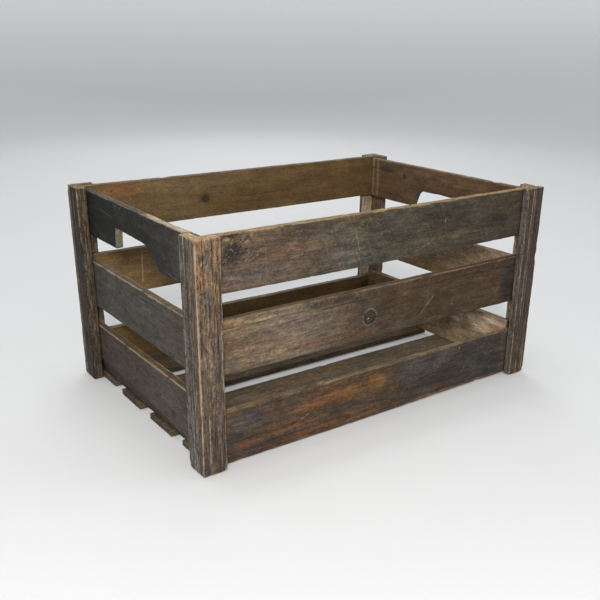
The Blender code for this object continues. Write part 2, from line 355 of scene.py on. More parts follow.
    def outline(self, along, low, high):
        """The section at every station, its normals, and the column of each crack.

        The loop runs over the outer face to the high edge, back over the inner face and up
        the low edge.
        """
        width_count = max(6, int(round(self.width / self.cell)))
        thick_count = max(4, int(round(self.thick / self.cell)))
        shares = np.linspace(0, 1, width_count + 1)
        gap = CRACK_GAP / self.width
        crack_shares = [(crack.across + self.width / 2) / self.width for crack in self.cracks]
        for share in crack_shares:
            clear = shares[np.abs(shares - share) > 0.9 * gap]
            shares = np.concatenate([clear, [share - gap, share, share + gap]])
        shares = np.unique(shares)
        inner_shares = 1 - shares[::-1]
        edge_shares = np.linspace(0, 1, thick_count + 1)
        outer = np.full(len(along), self.thick / 2)
        inner = -outer
        high_out, high_in, low_in, low_out = (self.corner_radius(along, k) for k in range(4))
        loop, normals = [], []

        def face(start, end, face_shares, normal):
            for share in face_shares:
                loop.append([a + (b - a) * share for a, b in zip(start, end)])
                normals.append(normal)

        def corner(across, outward, radius, start_angle):
            for k in range(1, CORNER_STEPS):
                angle = math.radians(start_angle - 90 * k / CORNER_STEPS)
                normal = (math.cos(angle), math.sin(angle))
                loop.append([across + radius * normal[0], outward + radius * normal[1]])
                normals.append(normal)

        face((low + low_out, outer), (high - high_out, outer), shares, (0, 1))
        corner(high - high_out, outer - high_out, high_out, 90)
        face((high, outer - high_out), (high, inner + high_in), edge_shares, (1, 0))
        corner(high - high_in, inner + high_in, high_in, 0)
        inner_first = len(loop)
        face((high - high_in, inner), (low + low_in, inner), inner_shares, (0, -1))
        corner(low + low_in, inner + low_in, low_in, -90)
        face((low, inner + low_in), (low, outer - low_out), edge_shares, (-1, 0))
        corner(low + low_out, outer - low_out, low_out, 180)

        columns = []
        for crack, share in zip(self.cracks, crack_shares):
            if crack.side > 0:
                columns.append(int(np.argmin(np.abs(shares - share))))
            else:
                nearest = int(np.argmin(np.abs(inner_shares - (1 - share))))
                columns.append(inner_first + nearest)
        loop, normals = np.array(loop), np.array(normals, float)
        return loop[:, 0].T, loop[:, 1].T, normals.T, columns

    def caps(self, points, low, high):
        """The ends, as rings shrinking onto the middle line of the section."""
        rings, normals = [], []
        half = self.thick / 2
        for end, sign in ((0, -1.0), (-1, 1.0)):
            loop = points[end]
            if low[end] + half > high[end] - half:
                spine = (low[end] + high[end]) / 2
            else:
                spine = np.clip(loop[:, 1], low[end] + half, high[end] - half)
            for share in CAP_SHARES:
                across = spine + (loop[:, 1] - spine) * share
                outward = loop[:, 2] * share
                along = sign * (self.length / 2 - self.end_cut(across, outward, sign))
                rings.append(np.stack([along, across, outward], -1))
                normals.append(np.tile((sign, 0, 0), (len(loop), 1)))
        return rings, normals

    def weather(self, skin, arris):
        """Depth and darkness from grain, nibbled arrises, chips, nails and batten seams."""
        seed, face = self.seed, self.thick / 2
        ridges = skin.noise(55.0, 1.9, seed + 21, gain=0.6)
        lumps = skin.noise(14.0, 9.0, seed + 22)
        grit = skin.noise(2.6, 1.6, seed + 23, octaves=1)
        skin.depth += self.rough * (0.16 * (0.5 + 0.5 * ridges) * self.relief
                                    + 0.14 * (0.5 + 0.5 * lumps) + 0.05 * (0.5 + 0.5 * grit))
        # Painted shade in the deepest grain grooves
        skin.dark += 0.07 * self.relief * np.clip(ridges - 0.35, 0, 1)
        nibbles = smooth(0.15, 0.7, skin.noise(7.0, 5.0, seed + 25))
        skin.depth += 0.80 * self.rough * np.exp(-arris / 1.3) * nibbles

        for along, across, outward, radius, depth in self.chips:
            wobble = 1 + 0.45 * skin.noise(4.0, 4.0, seed + 27, octaves=2)
            reach = np.sqrt(((skin.along - along) / 1.7) ** 2 + (skin.across - across) ** 2
                            + (skin.outward - outward) ** 2) * wobble
            mask = 1 - smooth(0.35 * radius, radius, reach)
            skin.depth += depth * mask
            # Painted shade in the chip's hollow
            skin.dark += 0.15 * mask

        for along, across, side in self.nail_ends():
            off_along, off_across = skin.along - along, skin.across - across
            on_face = skin.outward * side > face - 1.2
            mask = np.where(on_face, 1 - smooth(2.0, 3.3, np.hypot(off_along, off_across)), 0)
            skin.depth = skin.depth * (1 - mask) + 0.42 * mask
            stain = np.exp(-(off_along**2 / 26.0 + off_across**2 / 9.0))
            skin.dark += 0.55 * np.where(on_face, stain, 0)

        # Painted shade on the slat's outer face along each batten's inner edge, and a faint wider
        # painted shade a few mm onto the slat
        for seam, way in self.seams():
            past = (skin.along - seam) * way
            outer = skin.outward > 0
            skin.dark += 0.42 * np.where(past > 0, np.exp(-past / 0.9), 1.0) * outer
            skin.dark += 0.09 * np.exp(-np.maximum(past, 0) / 7.0) * outer * (0.6 + 0.6 * lumps)

    def cut_cracks(self, along, grid, dark, columns):
        """Sink each crack's column, darken it and let it wander a little."""
        loop = grid.shape[1]
        for crack, column in zip(self.cracks, columns):
            if crack.end is None:
                strength = 1 - np.abs(along - crack.middle) / (crack.length / 2)
            else:
                strength = 1 - (self.length / 2 - crack.end * along) / crack.length
            ragged = 0.75 + 0.25 * noise(along / 5.0, column, self.seed, self.seed + 33)
            strength = np.sqrt(np.clip(strength, 0, 1)) * ragged
            grid[:, column, 2] -= crack.side * crack.depth * strength
            # Painted shade in the crack, and fainter painted shade beside it
            dark[:, column] += 1.1 * smooth(0, 0.35, strength)
            for near in (-1, 1):
                dark[:, (column + near) % loop] += 0.18 * smooth(0, 0.5, strength)
            wander = noise(along / 28.0, 1.5 + column, self.seed, self.seed + 34)
            wander = crack.wander * wander * smooth(0, 0.3, strength)
            for near, share in ((-2, 0.35), (-1, 0.8), (0, 1), (1, 0.8), (2, 0.35)):
                grid[:, (column + near) % loop, 1] += wander * share

    def build(self):
        half = self.length / 2
        along, inset, tilt = self.stations()
        high = self.width / 2 - self.edge_cut(along, self.waver[0], 1.5, self.seed + 11)
        low = -self.width / 2 + self.edge_cut(along, self.waver[1], 7.5, self.seed + 13)
        if self.hold:
            low = np.maximum(low, self.hold_line(along))
        across, outward, (normal_across, normal_out), columns = self.outline(along, low, high)
        stations, loop = across.shape
        across = across - normal_across * inset[:, None]
        outward = outward - normal_out * inset[:, None]
        lengthways = np.tile(along[:, None], (1, loop))
        sign = np.sign(lengthways)
        near_end = smooth(half - 6.0, half, np.abs(lengthways))
        lengthways = lengthways - sign * self.end_cut(across, outward, sign) * near_end
        tilt = np.tile(tilt[:, None], (1, loop))
        flatness = np.sqrt(np.maximum(0, 1 - tilt**2))
        points = np.stack([lengthways, across, outward], -1)
        normals = np.stack([tilt, normal_across * flatness, normal_out * flatness], -1)
        rings, ring_normals = self.caps(points, low, high)
        rest = np.concatenate([points.reshape(-1, 3), *rings])
        normals = np.concatenate([normals.reshape(-1, 3), *ring_normals])

        def on_points(line):
            ends = [np.full(loop * len(CAP_SHARES), line[end]) for end in (0, -1)]
            return np.concatenate([np.repeat(line, loop), *ends])

        # Distance to the nearest arris, from the second nearest of the three pairs of sides
        skin = Skin(rest)
        low, high = on_points(low), on_points(high)
        to_sides = [np.minimum(skin.across - low, high - skin.across),
                    self.thick / 2 - np.abs(skin.outward), half - np.abs(skin.along)]
        arris = np.maximum(np.sort(np.stack(to_sides), 0)[1], 0)
        self.weather(skin, arris)
        if self.shape:
            self.shape(self, skin)
        moved = np.ascontiguousarray(rest - normals * skin.depth[:, None])
        swept = stations * loop
        self.cut_cracks(along, moved[:swept].reshape(stations, loop, 3),
                        skin.dark[:swept].reshape(stations, loop), columns)

        # Long bends, none where the battens hold the board
        free = 1 - smooth(half - 60, half - 25, np.abs(skin.along))
        moved[:, 2] += self.bow * free * np.cos(skin.along / half * 1.35)
        moved[:, 1] += self.sag * free * np.cos(skin.along / half * 1.35)

        worn = np.where(skin.across > (low + high) / 2, *self.worn)
        patchy = 1.0 + 0.9 * skin.noise(16.0, 14.0, self.seed + 41, 4, 0.65)
        skin.wear = np.exp(-arris / (0.5 + 0.75 * worn)) * worn * patchy
        skin.saw = np.full(len(rest), self.saw)
        self.paint(self, skin)

        right_handed = np.linalg.det(self.axes) > 0
        world = self.centre + (moved @ self.axes) * MM
        self.add_object(world, *board_faces(stations, loop, right_handed), rest, skin)

    def add_object(self, world, quads, fans, rest, skin):
        mesh = bpy.data.meshes.new(self.node + "_wood")
        corners = np.concatenate([quads.reshape(-1), *fans])
        totals = np.array([4] * len(quads) + [len(fan) for fan in fans])
        mesh.vertices.add(len(world))
        mesh.vertices.foreach_set("co", world.astype(np.float32).ravel())
        mesh.loops.add(len(corners))
        mesh.loops.foreach_set("vertex_index", corners.astype(np.int32))
        mesh.polygons.add(len(totals))
        mesh.polygons.foreach_set("loop_start", (np.cumsum(totals) - totals).astype(np.int32))
        mesh.polygons.foreach_set("loop_total", totals.astype(np.int32))
        mesh.update(calc_edges=True)
        mesh.validate()
        mesh.polygons.foreach_set("use_smooth", np.ones(len(mesh.polygons), bool))
        mesh.set_sharp_from_angle(angle=math.radians(62))

        def attribute(name, kind, field, values):
            layer = mesh.attributes.new(name, kind, "POINT")
            layer.data.foreach_set(field, np.ascontiguousarray(values, np.float32).ravel())

        even = np.ones(len(rest))
        looks = [np.clip(skin.dark, 0, 1.5), skin.saw, even * self.streak, even * self.flecks]
        attribute("gc", "FLOAT_VECTOR", "vector", rest)
        attribute("base", "FLOAT_COLOR", "color", np.column_stack([skin.base, skin.wear]))
        attribute("scuff", "FLOAT", "value", skin.scuff)
        attribute("aux", "FLOAT_COLOR", "color", np.stack(looks, 1))
        mesh.materials.append(self.material)
        obj = bpy.data.objects.new(self.node + "_wood", mesh)
        bpy.context.scene.collection.objects.link(obj)
        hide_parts(self.node)
        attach(obj, "root")


# ---------------------------------------------------------------- shader graphs

def operator(kind, swapped=False):
    def apply(self, other):
        pair = (other, self) if swapped else (self, other)
        return self.graph.math(kind, *pair)
    return apply


class Wire:
    """An output of a shader node. Arithmetic on it adds Math nodes."""

    __array_ufunc__ = None  # leaves arithmetic with numpy numbers to this class
    __add__, __radd__ = operator("ADD"), operator("ADD", swapped=True)
    __sub__, __rsub__ = operator("SUBTRACT"), operator("SUBTRACT", swapped=True)
    __mul__, __rmul__ = operator("MULTIPLY"), operator("MULTIPLY", swapped=True)
    __truediv__ = operator("DIVIDE")

    def __init__(self, graph, socket):
        self.graph, self.socket = graph, socket

    def remap(self, low, high, to_low, to_high):
        """Smooth step from to_low to to_high as the value goes from low to high."""
        node = self.graph.node("ShaderNodeMapRange", interpolation_type="SMOOTHSTEP")
        for socket, value in zip(node.inputs, (self, low, high, to_low, to_high)):
            self.graph.put(socket, value)
        return Wire(self.graph, node.outputs[0])

    def rise(self, low, high):
        return self.remap(low, high, 0.0, 1.0)

    def fall(self, low, high):
        return self.remap(low, high, 1.0, 0.0)


class Graph:
    """Short-hand for building a node tree."""

    def __init__(self, tree):
        self.tree = tree

    def node(self, kind, **settings):
        node = self.tree.nodes.new(kind)
        for key, value in settings.items():
            setattr(node, key, value)
        return node

    def put(self, socket, value):
        if isinstance(value, Wire):
            self.tree.links.new(value.socket, socket)
        elif value is not None:
            socket.default_value = value

    def attribute(self, name, *outputs):
        node = self.node("ShaderNodeAttribute", attribute_name=name)
        return [Wire(self, node.outputs[output]) for output in outputs]

    def position(self):
        return Wire(self, self.node("ShaderNodeNewGeometry").outputs["Position"])

    def split(self, kind, value):
        node = self.node(kind)
        self.put(node.inputs[0], value)
        return [Wire(self, socket) for socket in node.outputs]

    def combine(self, *parts):
        node = self.node("ShaderNodeCombineXYZ")
        for socket, part in zip(node.inputs, parts):
            self.put(socket, part)
        return Wire(self, node.outputs[0])

    def math(self, kind, *values, clamp=False):
        node = self.node("ShaderNodeMath", operation=kind, use_clamp=clamp)
        for socket, value in zip(node.inputs, values):
            self.put(socket, value)
        return Wire(self, node.outputs[0])

    def shift(self, vector, offset):
        node = self.node("ShaderNodeVectorMath", operation="ADD")
        self.put(node.inputs[0], vector)
        self.put(node.inputs[1], offset)
        return Wire(self, node.outputs[0])

    def scale(self, vector, factor):
        node = self.node("ShaderNodeVectorMath", operation="SCALE")
        self.put(node.inputs[0], vector)
        self.put(node.inputs["Scale"], factor)
        return Wire(self, node.outputs[0])

    def mix(self, factor, first, second, blend="MIX"):
        node = self.node("ShaderNodeMix", data_type="RGBA", blend_type=blend, clamp_factor=True)
        self.put(node.inputs[0], factor)
        for socket, value in ((node.inputs[6], first), (node.inputs[7], second)):
            self.put(socket, value if isinstance(value, Wire) else (*value, 1.0))
        return Wire(self, node.outputs[2])

    def tint(self, colour, tint):
        return self.mix(1.0, colour, tint, "MULTIPLY")

    def noise(self, vector, detail, scale=1.0, rough=0.55, distortion=0.0, output=0):
        node = self.node("ShaderNodeTexNoise")
        self.put(node.inputs["Vector"], vector)
        node.inputs["Scale"].default_value = scale
        node.inputs["Detail"].default_value = detail
        node.inputs["Roughness"].default_value = rough
        node.inputs["Distortion"].default_value = distortion
        return Wire(self, node.outputs[output])

    def stretch(self, vector, scale, offset):
        node = self.node("ShaderNodeMapping")
        self.put(node.inputs["Vector"], vector)
        node.inputs["Scale"].default_value = scale
        node.inputs["Location"].default_value = offset
        return Wire(self, node.outputs[0])

    def bump(self, shader, height, strength, distance):
        node = self.node("ShaderNodeBump")
        node.inputs["Strength"].default_value = strength
        node.inputs["Distance"].default_value = distance
        self.put(node.inputs["Height"], height)
        self.tree.links.new(node.outputs[0], shader.inputs["Normal"])


def new_material(name):
    material = bpy.data.materials.new(name)
    material.use_nodes = True
    tree = material.node_tree
    tree.nodes.clear()
    graph = Graph(tree)
    output = graph.node("ShaderNodeOutputMaterial")
    shader = graph.node("ShaderNodeBsdfPrincipled")
    tree.links.new(shader.outputs[0], output.inputs[0])
    return material, graph, shader


# ---------------------------------------------------------------- materials

def knot_fields(graph, shifted, grain, knot):
    """A knot's inside, pale halo, dark line and rings, and its push on the growth rings."""
    along, across, outward = grain
    knot_along, knot_across, radius, side = knot
    off_along = along - knot_along
    off_across = across - knot_across
    wobble = (graph.noise(shifted, scale=0.16, detail=3.0) - 0.5) * (radius * 0.26)
    reach = graph.math("SQRT", off_along * off_along + off_across * off_across) + wobble
    facing = (outward * float(side)).rise(-1.0, 2.5)
    inside = reach.fall(radius * 0.70, radius * 1.0) * facing
    halo = (reach.rise(radius * 0.88, radius * 1.00)
            * reach.fall(radius * 1.02, radius * 1.22) * facing)
    line = (reach.rise(radius * 0.55, radius * 0.78)
            * reach.fall(radius * 0.80, radius * 1.02) * facing)
    rings = graph.math("FRACT", reach / (radius * 0.30)) * inside
    squared = off_along * off_along * 0.35 + off_across * off_across
    push = graph.math("EXPONENT", squared * (-1.0 / (radius * radius * 3.2))) * (radius * 1.6)
    return inside, halo, line, rings, push * graph.math("SIGN", off_across)


def scratch_field(graph, shifted, grain, grit, scratch):
    """Mask of one hairline scratch: its two ends, half width, face and strength."""
    along, across, outward = grain
    start_along, start_across, end_along, end_across, half_width, side, strength = scratch
    length = math.hypot(end_along - start_along, end_across - start_across)
    way_along = (end_along - start_along) / length
    way_across = (end_across - start_across) / length
    down = (along - start_along) * way_along + (across - start_across) * way_across
    beside = (along - start_along) * -way_across + (across - start_across) * way_along
    beside = beside + (graph.noise(shifted, scale=0.12, detail=2.0) - 0.5) * 3.0
    mask = (graph.math("ABSOLUTE", beside).fall(half_width * 0.4, half_width)
            * (down.rise(0.0, length * 0.2) * down.fall(length * 0.8, length)))
    mask = mask * ((outward * float(side)).rise(0.5, 2.0) * strength)
    return mask * grit.rise(0.32, 0.6)


def wood(name, seed, pith, worn_colour, ring_gap=4.2, ring=0.20, fibre=0.50, mottle=0.5,
         blotch=0.35, dust=0.12, saw_tilt=0.12, bump=1.0, warm=(1.14, 1.0, 0.84),
         cool=(0.90, 0.98, 1.06), grey=(0.13, 0.12, 0.105), knot=None,
         knot_tint=(0.050, 0.034, 0.020), knot_rim=0.0, scratches=()):
    """Weathered, dark stained softwood, driven by the board's attributes.

    gc is the place on the board in mm, base its colour with wear as alpha, and aux holds
    darkness, saw marks, streaks and flecks. pith is the offset of the growth rings' centre,
    and ring, fibre, mottle, blotch and dust are strengths.
    """
    material, graph, shader = new_material(name)
    place = graph.attribute("gc", "Vector")[0]
    base, wear = graph.attribute("base", "Color", "Alpha")
    looks, fleck_amount = graph.attribute("aux", "Color", "Alpha")
    dark, saw, streak = graph.split("ShaderNodeSeparateColor", looks)
    seed_shift = (seed * 137.3 % 911, seed * 71.9 % 613, seed * 53.1 % 417)
    shifted = graph.shift(place, seed_shift)
    grain = graph.split("ShaderNodeSeparateXYZ", place)
    along, across, outward = grain

    def streaks(per_mm, across_per_mm, offset=(0, 0, 0), **look):
        """Noise with a frequency along the grain and another across it."""
        scale = (per_mm, across_per_mm, across_per_mm)
        return graph.noise(graph.stretch(shifted, scale, offset), **look)

    def centred(value):
        """Noise spread evenly about 0, limited to 1.4 either way."""
        return graph.math("MINIMUM", graph.math("MAXIMUM", (value - 0.5) / 0.13, -1.4), 1.4)

    # Growth rings round a pith off to one side, bent by slow noise and pushed round the knot
    bend = streaks(1 / 210, 1 / 60, detail=2.0, rough=0.5, output="Color")
    bend = graph.split("ShaderNodeSeparateColor", bend)
    ring_across = across + pith[0] + (bend[0] - 0.5) * 20.0
    ring_outward = outward + pith[1] + (bend[1] - 0.5) * 14.0
    if knot:
        knot_inside, knot_halo, knot_line, knot_rings, push = knot_fields(
            graph, shifted, grain, knot)
        ring_across = ring_across + push
    radius = graph.math("SQRT", ring_across * ring_across + ring_outward * ring_outward)
    wobble = streaks(1 / 110, 1 / 9, detail=3.0, rough=0.6)
    phase = graph.math("FRACT", radius / ring_gap + wobble * 0.9)
    late_wood = phase.rise(0.15, 0.80) * phase.fall(0.82, 1.0)

    fibres = streaks(0.060, 0.62, detail=5.0, rough=0.78, distortion=0.2)
    broad = streaks(0.011, 0.15, (3, 7, 1), detail=4.0, rough=0.65)
    patches = streaks(0.018, 0.032, (9, 2, 5), detail=6.0, rough=0.66)
    grime = streaks(0.075, 0.15, (6, 1, 8), detail=5.0, rough=0.68, distortion=0.6)
    grit = streaks(0.30, 0.46, detail=5.0, rough=0.78)

    # Marks of the saw: broken lines across the grain
    slanted = graph.combine((along + across * saw_tilt) * 0.62, across * 0.045, outward * 0.045)
    saw_lines = graph.noise(graph.shift(slanted, seed_shift), detail=4.0, rough=0.7)
    saw_breaks = streaks(0.022, 0.035, (1, 4, 6), detail=3.0).rise(0.36, 0.60)
    saw_marks = centred(saw_lines) * saw_breaks * (saw * 0.22)

    # Colour: warm and cool streaks, grime, and a slow drift between purple and olive
    hue = graph.mix(broad.rise(0.36, 0.64), cool, warm)
    colour = graph.tint(base, graph.mix(streak, (1.0, 1.0, 1.0), hue))
    hue = graph.mix(grime.rise(0.36, 0.64), (0.84, 0.90, 0.98), (1.13, 1.06, 0.98))
    grime_amount = graph.math("MULTIPLY", mottle, 0.9)
    colour = graph.mix(grime_amount, colour, graph.tint(colour, hue))
    cast = streaks(0.028, 0.050, (11, 6, 2), detail=4.0, rough=0.62, distortion=0.4)
    cast = graph.mix(cast.rise(0.38, 0.62), (1.06, 0.93, 1.02), (0.97, 1.03, 0.90))
    colour = graph.mix(mottle, colour, graph.tint(colour, cast))

    # Brightness, with narrow dark gaps where the soft wood has weathered out
    shade = 1.0 + centred(fibres) * (fibre * 0.70)
    shade *= 1.0 + ring * 0.4 - late_wood * ring
    shade *= 1.0 + blotch * 0.5 - patches.rise(0.36, 0.64) * blotch
    shade *= 1.0 + centred(grime) * (mottle * 0.36)
    shade *= 1.0 + saw_marks
    shade *= 1.0 + centred(grit) * (0.15 + 0.34 * fibre)
    gaps = streaks(0.014, 0.40, (5, 5, 5), detail=4.0, rough=0.66).rise(0.60, 0.72)
    shade *= 1.0 - gaps * (streak * 0.62)
    colour = graph.scale(colour, graph.math("MAXIMUM", shade, 0.12))

    dusty = streaks(0.03, 0.06, (4, 8, 2), detail=5.0, rough=0.66).rise(0.5, 0.70) * dust
    colour = graph.mix(dusty, colour, grey)
    if knot:
        rim = graph.mix(0.5, graph.scale(base, 2.2), (0.30, 0.27, 0.22))
        colour = graph.mix(knot_halo * grime.rise(0.42, 0.56) * knot_rim, colour, rim)
        knot_shade = graph.math("MAXIMUM", 0.08, -0.86 + (knot_rings * 0.8 + grit * 2.0))
        knot_colour = graph.scale(graph.mix(0.6, base, knot_tint), knot_shade)
        colour = graph.mix(knot_inside, colour, knot_colour)
        colour = graph.mix(knot_line * 0.45, colour, graph.scale(base, 0.25))

    # Worn arrises, small pale flecks and dark pits
    worn = (wear + ((grit - 0.5) * 0.9 + (fibres - 0.5) * 0.7)).rise(0.30, 0.78)
    worn_shade = 0.40 + (fibres * 0.7 + grit * 0.5)
    colour = graph.mix(worn * 0.80, colour, graph.scale(worn_colour, worn_shade))
    fleck = streaks(0.24, 0.40, (2, 2, 9), detail=3.0, rough=0.6) + fleck_amount * 0.05
    colour = graph.mix(fleck.rise(0.735, 0.775) * fleck_amount, colour, (0.24, 0.21, 0.175))
    pits = streaks(0.17, 0.36, (7, 3, 1), detail=4.0, rough=0.66).rise(0.645, 0.715)
    colour = graph.mix(pits * 0.62, colour, graph.scale(base, 0.30))

    # Bruised patches: short slanting dark and pale marks
    scuff = graph.attribute("scuff", "Fac")[0]
    turned = graph.combine(along * 0.16 + across * 0.20, across * 0.44 - along * 0.34,
                           outward * 0.3)
    marks = graph.noise(graph.shift(turned, seed_shift), detail=4.0, rough=0.7, distortion=0.5)
    colour = graph.mix(marks.fall(0.40, 0.52) * scuff * 0.88, colour, (0.018, 0.014, 0.012))
    colour = graph.mix(marks.rise(0.58, 0.65) * scuff * 0.80, colour, (0.30, 0.25, 0.20))
    if scratches:
        masks = [scratch_field(graph, shifted, grain, grit, scratch) for scratch in scratches]
        scratched = reduce(lambda first, second: graph.math("MAXIMUM", first, second), masks)
        colour = graph.mix(scratched, colour, (0.26, 0.20, 0.135))
    # Near-black from the darkness attribute: painted shade in cracks, chips, grain grooves, beside
    # the battens and on the bark edge, and stains round the nails
    colour = graph.mix(dark.rise(0.05, 1.0) * 0.93, colour, (0.008, 0.007, 0.006))
    graph.put(shader.inputs["Base Color"], colour)

    rough = 0.8 + (fibres - 0.5) * 0.22
    rough = graph.math("SUBTRACT", rough, worn * 0.10, clamp=True)
    graph.put(shader.inputs["Roughness"], rough)
    shader.inputs["Specular IOR Level"].default_value = 0.22
    height = (fibres * 0.75 + late_wood * 0.12 + grit * 0.75 + saw_marks * 2.0 + grime * 0.9
              - gaps * 0.40 - pits * 0.45 + marks * scuff * 2.2)
    graph.bump(shader, height, strength=min(1.0, 0.85 * bump), distance=0.0008)
    return material


def nail_metal(name):
    """Old wire-nail steel: dark oxide with rust in patches."""
    material, graph, shader = new_material(name)
    in_mm = graph.scale(graph.position(), 1000.0)
    rust = graph.noise(in_mm, scale=0.9, detail=5.0, rough=0.65)
    fine = graph.noise(in_mm, scale=3.5, detail=3.0, rough=0.6)
    rusty = rust.rise(0.38, 0.60)
    colour = graph.mix(rusty, (0.075, 0.068, 0.062), (0.060, 0.030, 0.018))
    graph.put(shader.inputs["Base Color"], graph.scale(colour, 0.6 + fine * 0.8))
    graph.put(shader.inputs["Metallic"], rusty.remap(0.0, 1.0, to_low=0.7, to_high=0.1))
    graph.put(shader.inputs["Roughness"], rusty.remap(0.0, 1.0, to_low=0.55, to_high=0.88))
    graph.bump(shader, rust + fine * 0.4, strength=0.6, distance=0.0002)
    return material


# ---------------------------------------------------------------- paint

EVEN = ((0, 1.0),)


def painter(outer, inner, top, bottom, ends, spots=(), inner_spots=(), extra=None,
            gain=EVEN, inner_gain=EVEN, edge_gain=1.0, scuffs=()):
    """Makes the function that colours a board.

    outer and inner are colour stops along the two faces, top and bottom colour the high and
    low long edges. All are screen colours. A spot is (along, across, half length, half
    width, colour, strength), a scuff the same without a colour.
    """
    outer, inner = ([(share, tone(*colour)) for share, colour in stops]
                    for stops in (outer, inner))

    def paint(board, skin):
        seed, half = board.seed, board.length / 2
        is_outer = skin.outward > 0
        share = skin.along / half + 0.10 * skin.noise(30.0, 14.0, seed + 61)
        ragged = 0.1 * skin.face_noise(6.0, 6.0, seed + 62, octaves=1)
        side = smooth(-0.15, 0.15, skin.outward / (board.thick / 2) + ragged)[:, None]
        skin.base = along_stops(inner, share) * (1 - side) + along_stops(outer, share) * side
        for k, (*region, colour, strength) in enumerate([*spots, *inner_spots], 1):
            on_face = is_outer if k <= len(spots) else ~is_outer
            skin.paint(skin.blob(region, seed + 70 + k) * on_face, colour, strength)
        skin.base = skin.base * (along_stops(inner_gain, skin.along / half) * (1 - side)
                                 + along_stops(gain, skin.along / half) * side)

        from_face = board.thick / 2 - np.abs(skin.outward)
        on_edge = smooth(0.55, 0.9, smooth(0.2, 1.1, from_face)) * (from_face > 0.9)
        on_edge = on_edge * (np.abs(skin.across) / (board.width / 2) > 0.5)
        patchy = 0.72 + 0.28 * fractal(skin.along / 14.0, 0.5, skin.outward / 3.0, seed + 63, 4)
        skin.paint(on_edge * (skin.across > 0) * patchy, top, gain=edge_gain)
        skin.paint(on_edge * (skin.across <= 0), bottom, gain=edge_gain)
        skin.paint(smooth(half - 1.2, half - 0.4, np.abs(skin.along)), ends, gain=edge_gain)

        skin.scuff = np.zeros(len(skin.along))
        for k, (*region, strength) in enumerate(scuffs):
            mask = skin.blob(region, seed + 140 + k, ragged=0.7, soft=0.5) * is_outer
            skin.scuff = np.maximum(skin.scuff, strength * mask)
        # Unevenness a few tens of mm across
        skin.base = skin.base * (1 + 0.16 * skin.noise(26.0, 15.0, seed + 90, 4))[:, None]
        if extra:
            extra(board, skin)
        skin.base = np.clip(skin.base, 0.004, 1.0)
        skin.wear = np.clip(skin.wear, 0, 1.5)

    return paint


def add_board(node, seed, look, **shape):
    """Builds one board; look holds the settings of its wood."""
    name = "wood_" + node.replace("_end_slat", "").replace("_slat", "").replace("_board", "")
    Board(node=node, seed=seed, material=wood(name, seed, **look), **shape).build()


GREY_TAN = (0.215, 0.175, 0.132)


# ---------------------------------------------------------------- front slats

place = CratePlace("front_slat_top")
add_board(
    "front_slat_top", 3, edge_radius=1.0, bow=0.3, sag=-0.4, waver=(1.0, 0.4),
    worn=(0.95, 0.35), saw=1.0, streak=0.25, flecks=0.9,
    chips=place.rows(
        (47, 240, 4.5, 7, 1.2), (58, 231, 4.7, 6, 0.9), (43, 229, 4.7, 5, 0.9),
        (52, 222, 4.7, 5, 0.7), (40, 247, 4.7, 5, 1.2), (66, 243, 4.7, 5, 0.7),
        (228, 248, 4.7, 4, 0.7), (330, 190, 4.7, 4, 0.8)),
    cracks=(Crack(12.0, 55, 0.7, middle=place.along(75)),
            Crack(-15.0, 70, 0.7, middle=place.along(395))),
    paint=painter(
        outer=[(-1, (100, 82, 70)), (-0.62, (106, 90, 78)), (-0.2, (98, 89, 77)),
               (0.25, (84, 76, 64)), (0.6, (72, 65, 55)), (1, (68, 60, 52))],
        inner=[(-1, (92, 78, 58)), (1, (88, 72, 50))],
        top=(166, 140, 90), bottom=(66, 56, 47), ends=(90, 78, 62), edge_gain=0.92,
        gain=((-1, 0.64), (-0.6, (0.65, 0.645, 0.585)), (-0.1, (0.495, 0.54, 0.535)),
              (0.5, (0.68, 0.66, 0.60)), (1, (0.75, 0.72, 0.60))),
        scuffs=place.rows(
            (52, 235, 19, 12, 1.0), (44, 222, 11, 9, 0.95), (66, 224, 12, 7, 0.7),
            (112, 240, 16, 6, 0.4), (72, 243, 14, 4, 0.6), (196, 222, 14, 10, 0.35),
            (208, 236, 6, 4, 0.7)),
        spots=place.rows(
            (64, 238, 14, 7, (126, 106, 82), 0.7), (48, 228, 12, 9, (52, 44, 42), 0.85),
            (44, 247, 8, 4, (52, 36, 32), 0.8), (41, 242, 4, 1.8, (196, 168, 126), 0.8),
            (78, 247, 18, 1.8, (160, 134, 92), 0.5), (75, 205, 34, 10, (116, 104, 98), 0.6),
            (130, 238, 40, 7, (72, 62, 56), 0.6), (120, 222, 40, 9, (112, 92, 70), 0.5),
            (200, 244, 34, 5, (118, 90, 60), 0.6), (205, 230, 16, 11, (108, 97, 72), 0.5),
            (190, 205, 26, 8, (112, 103, 98), 0.55), (268, 214, 44, 7, (94, 80, 62), 0.5),
            (300, 203, 50, 6, (100, 88, 68), 0.55), (345, 232, 60, 10, (58, 55, 50), 0.5),
            (415, 233, 16, 9, (74, 62, 52), 0.5), (418, 215, 15, 10, (46, 42, 40), 0.7))),
    look=dict(
        pith=(4, -40), saw_tilt=0.5, worn_colour=(0.31, 0.235, 0.145),
        scratches=place.lines(
            (198, 229, 206, 203, 0.7, 1, 0.7), (84, 232, 86, 198, 0.5, 1, 0.45),
            (292, 196, 318, 208, 0.8, 1, 0.5), (330, 222, 330, 228, 0.8, 1, 0.9))))

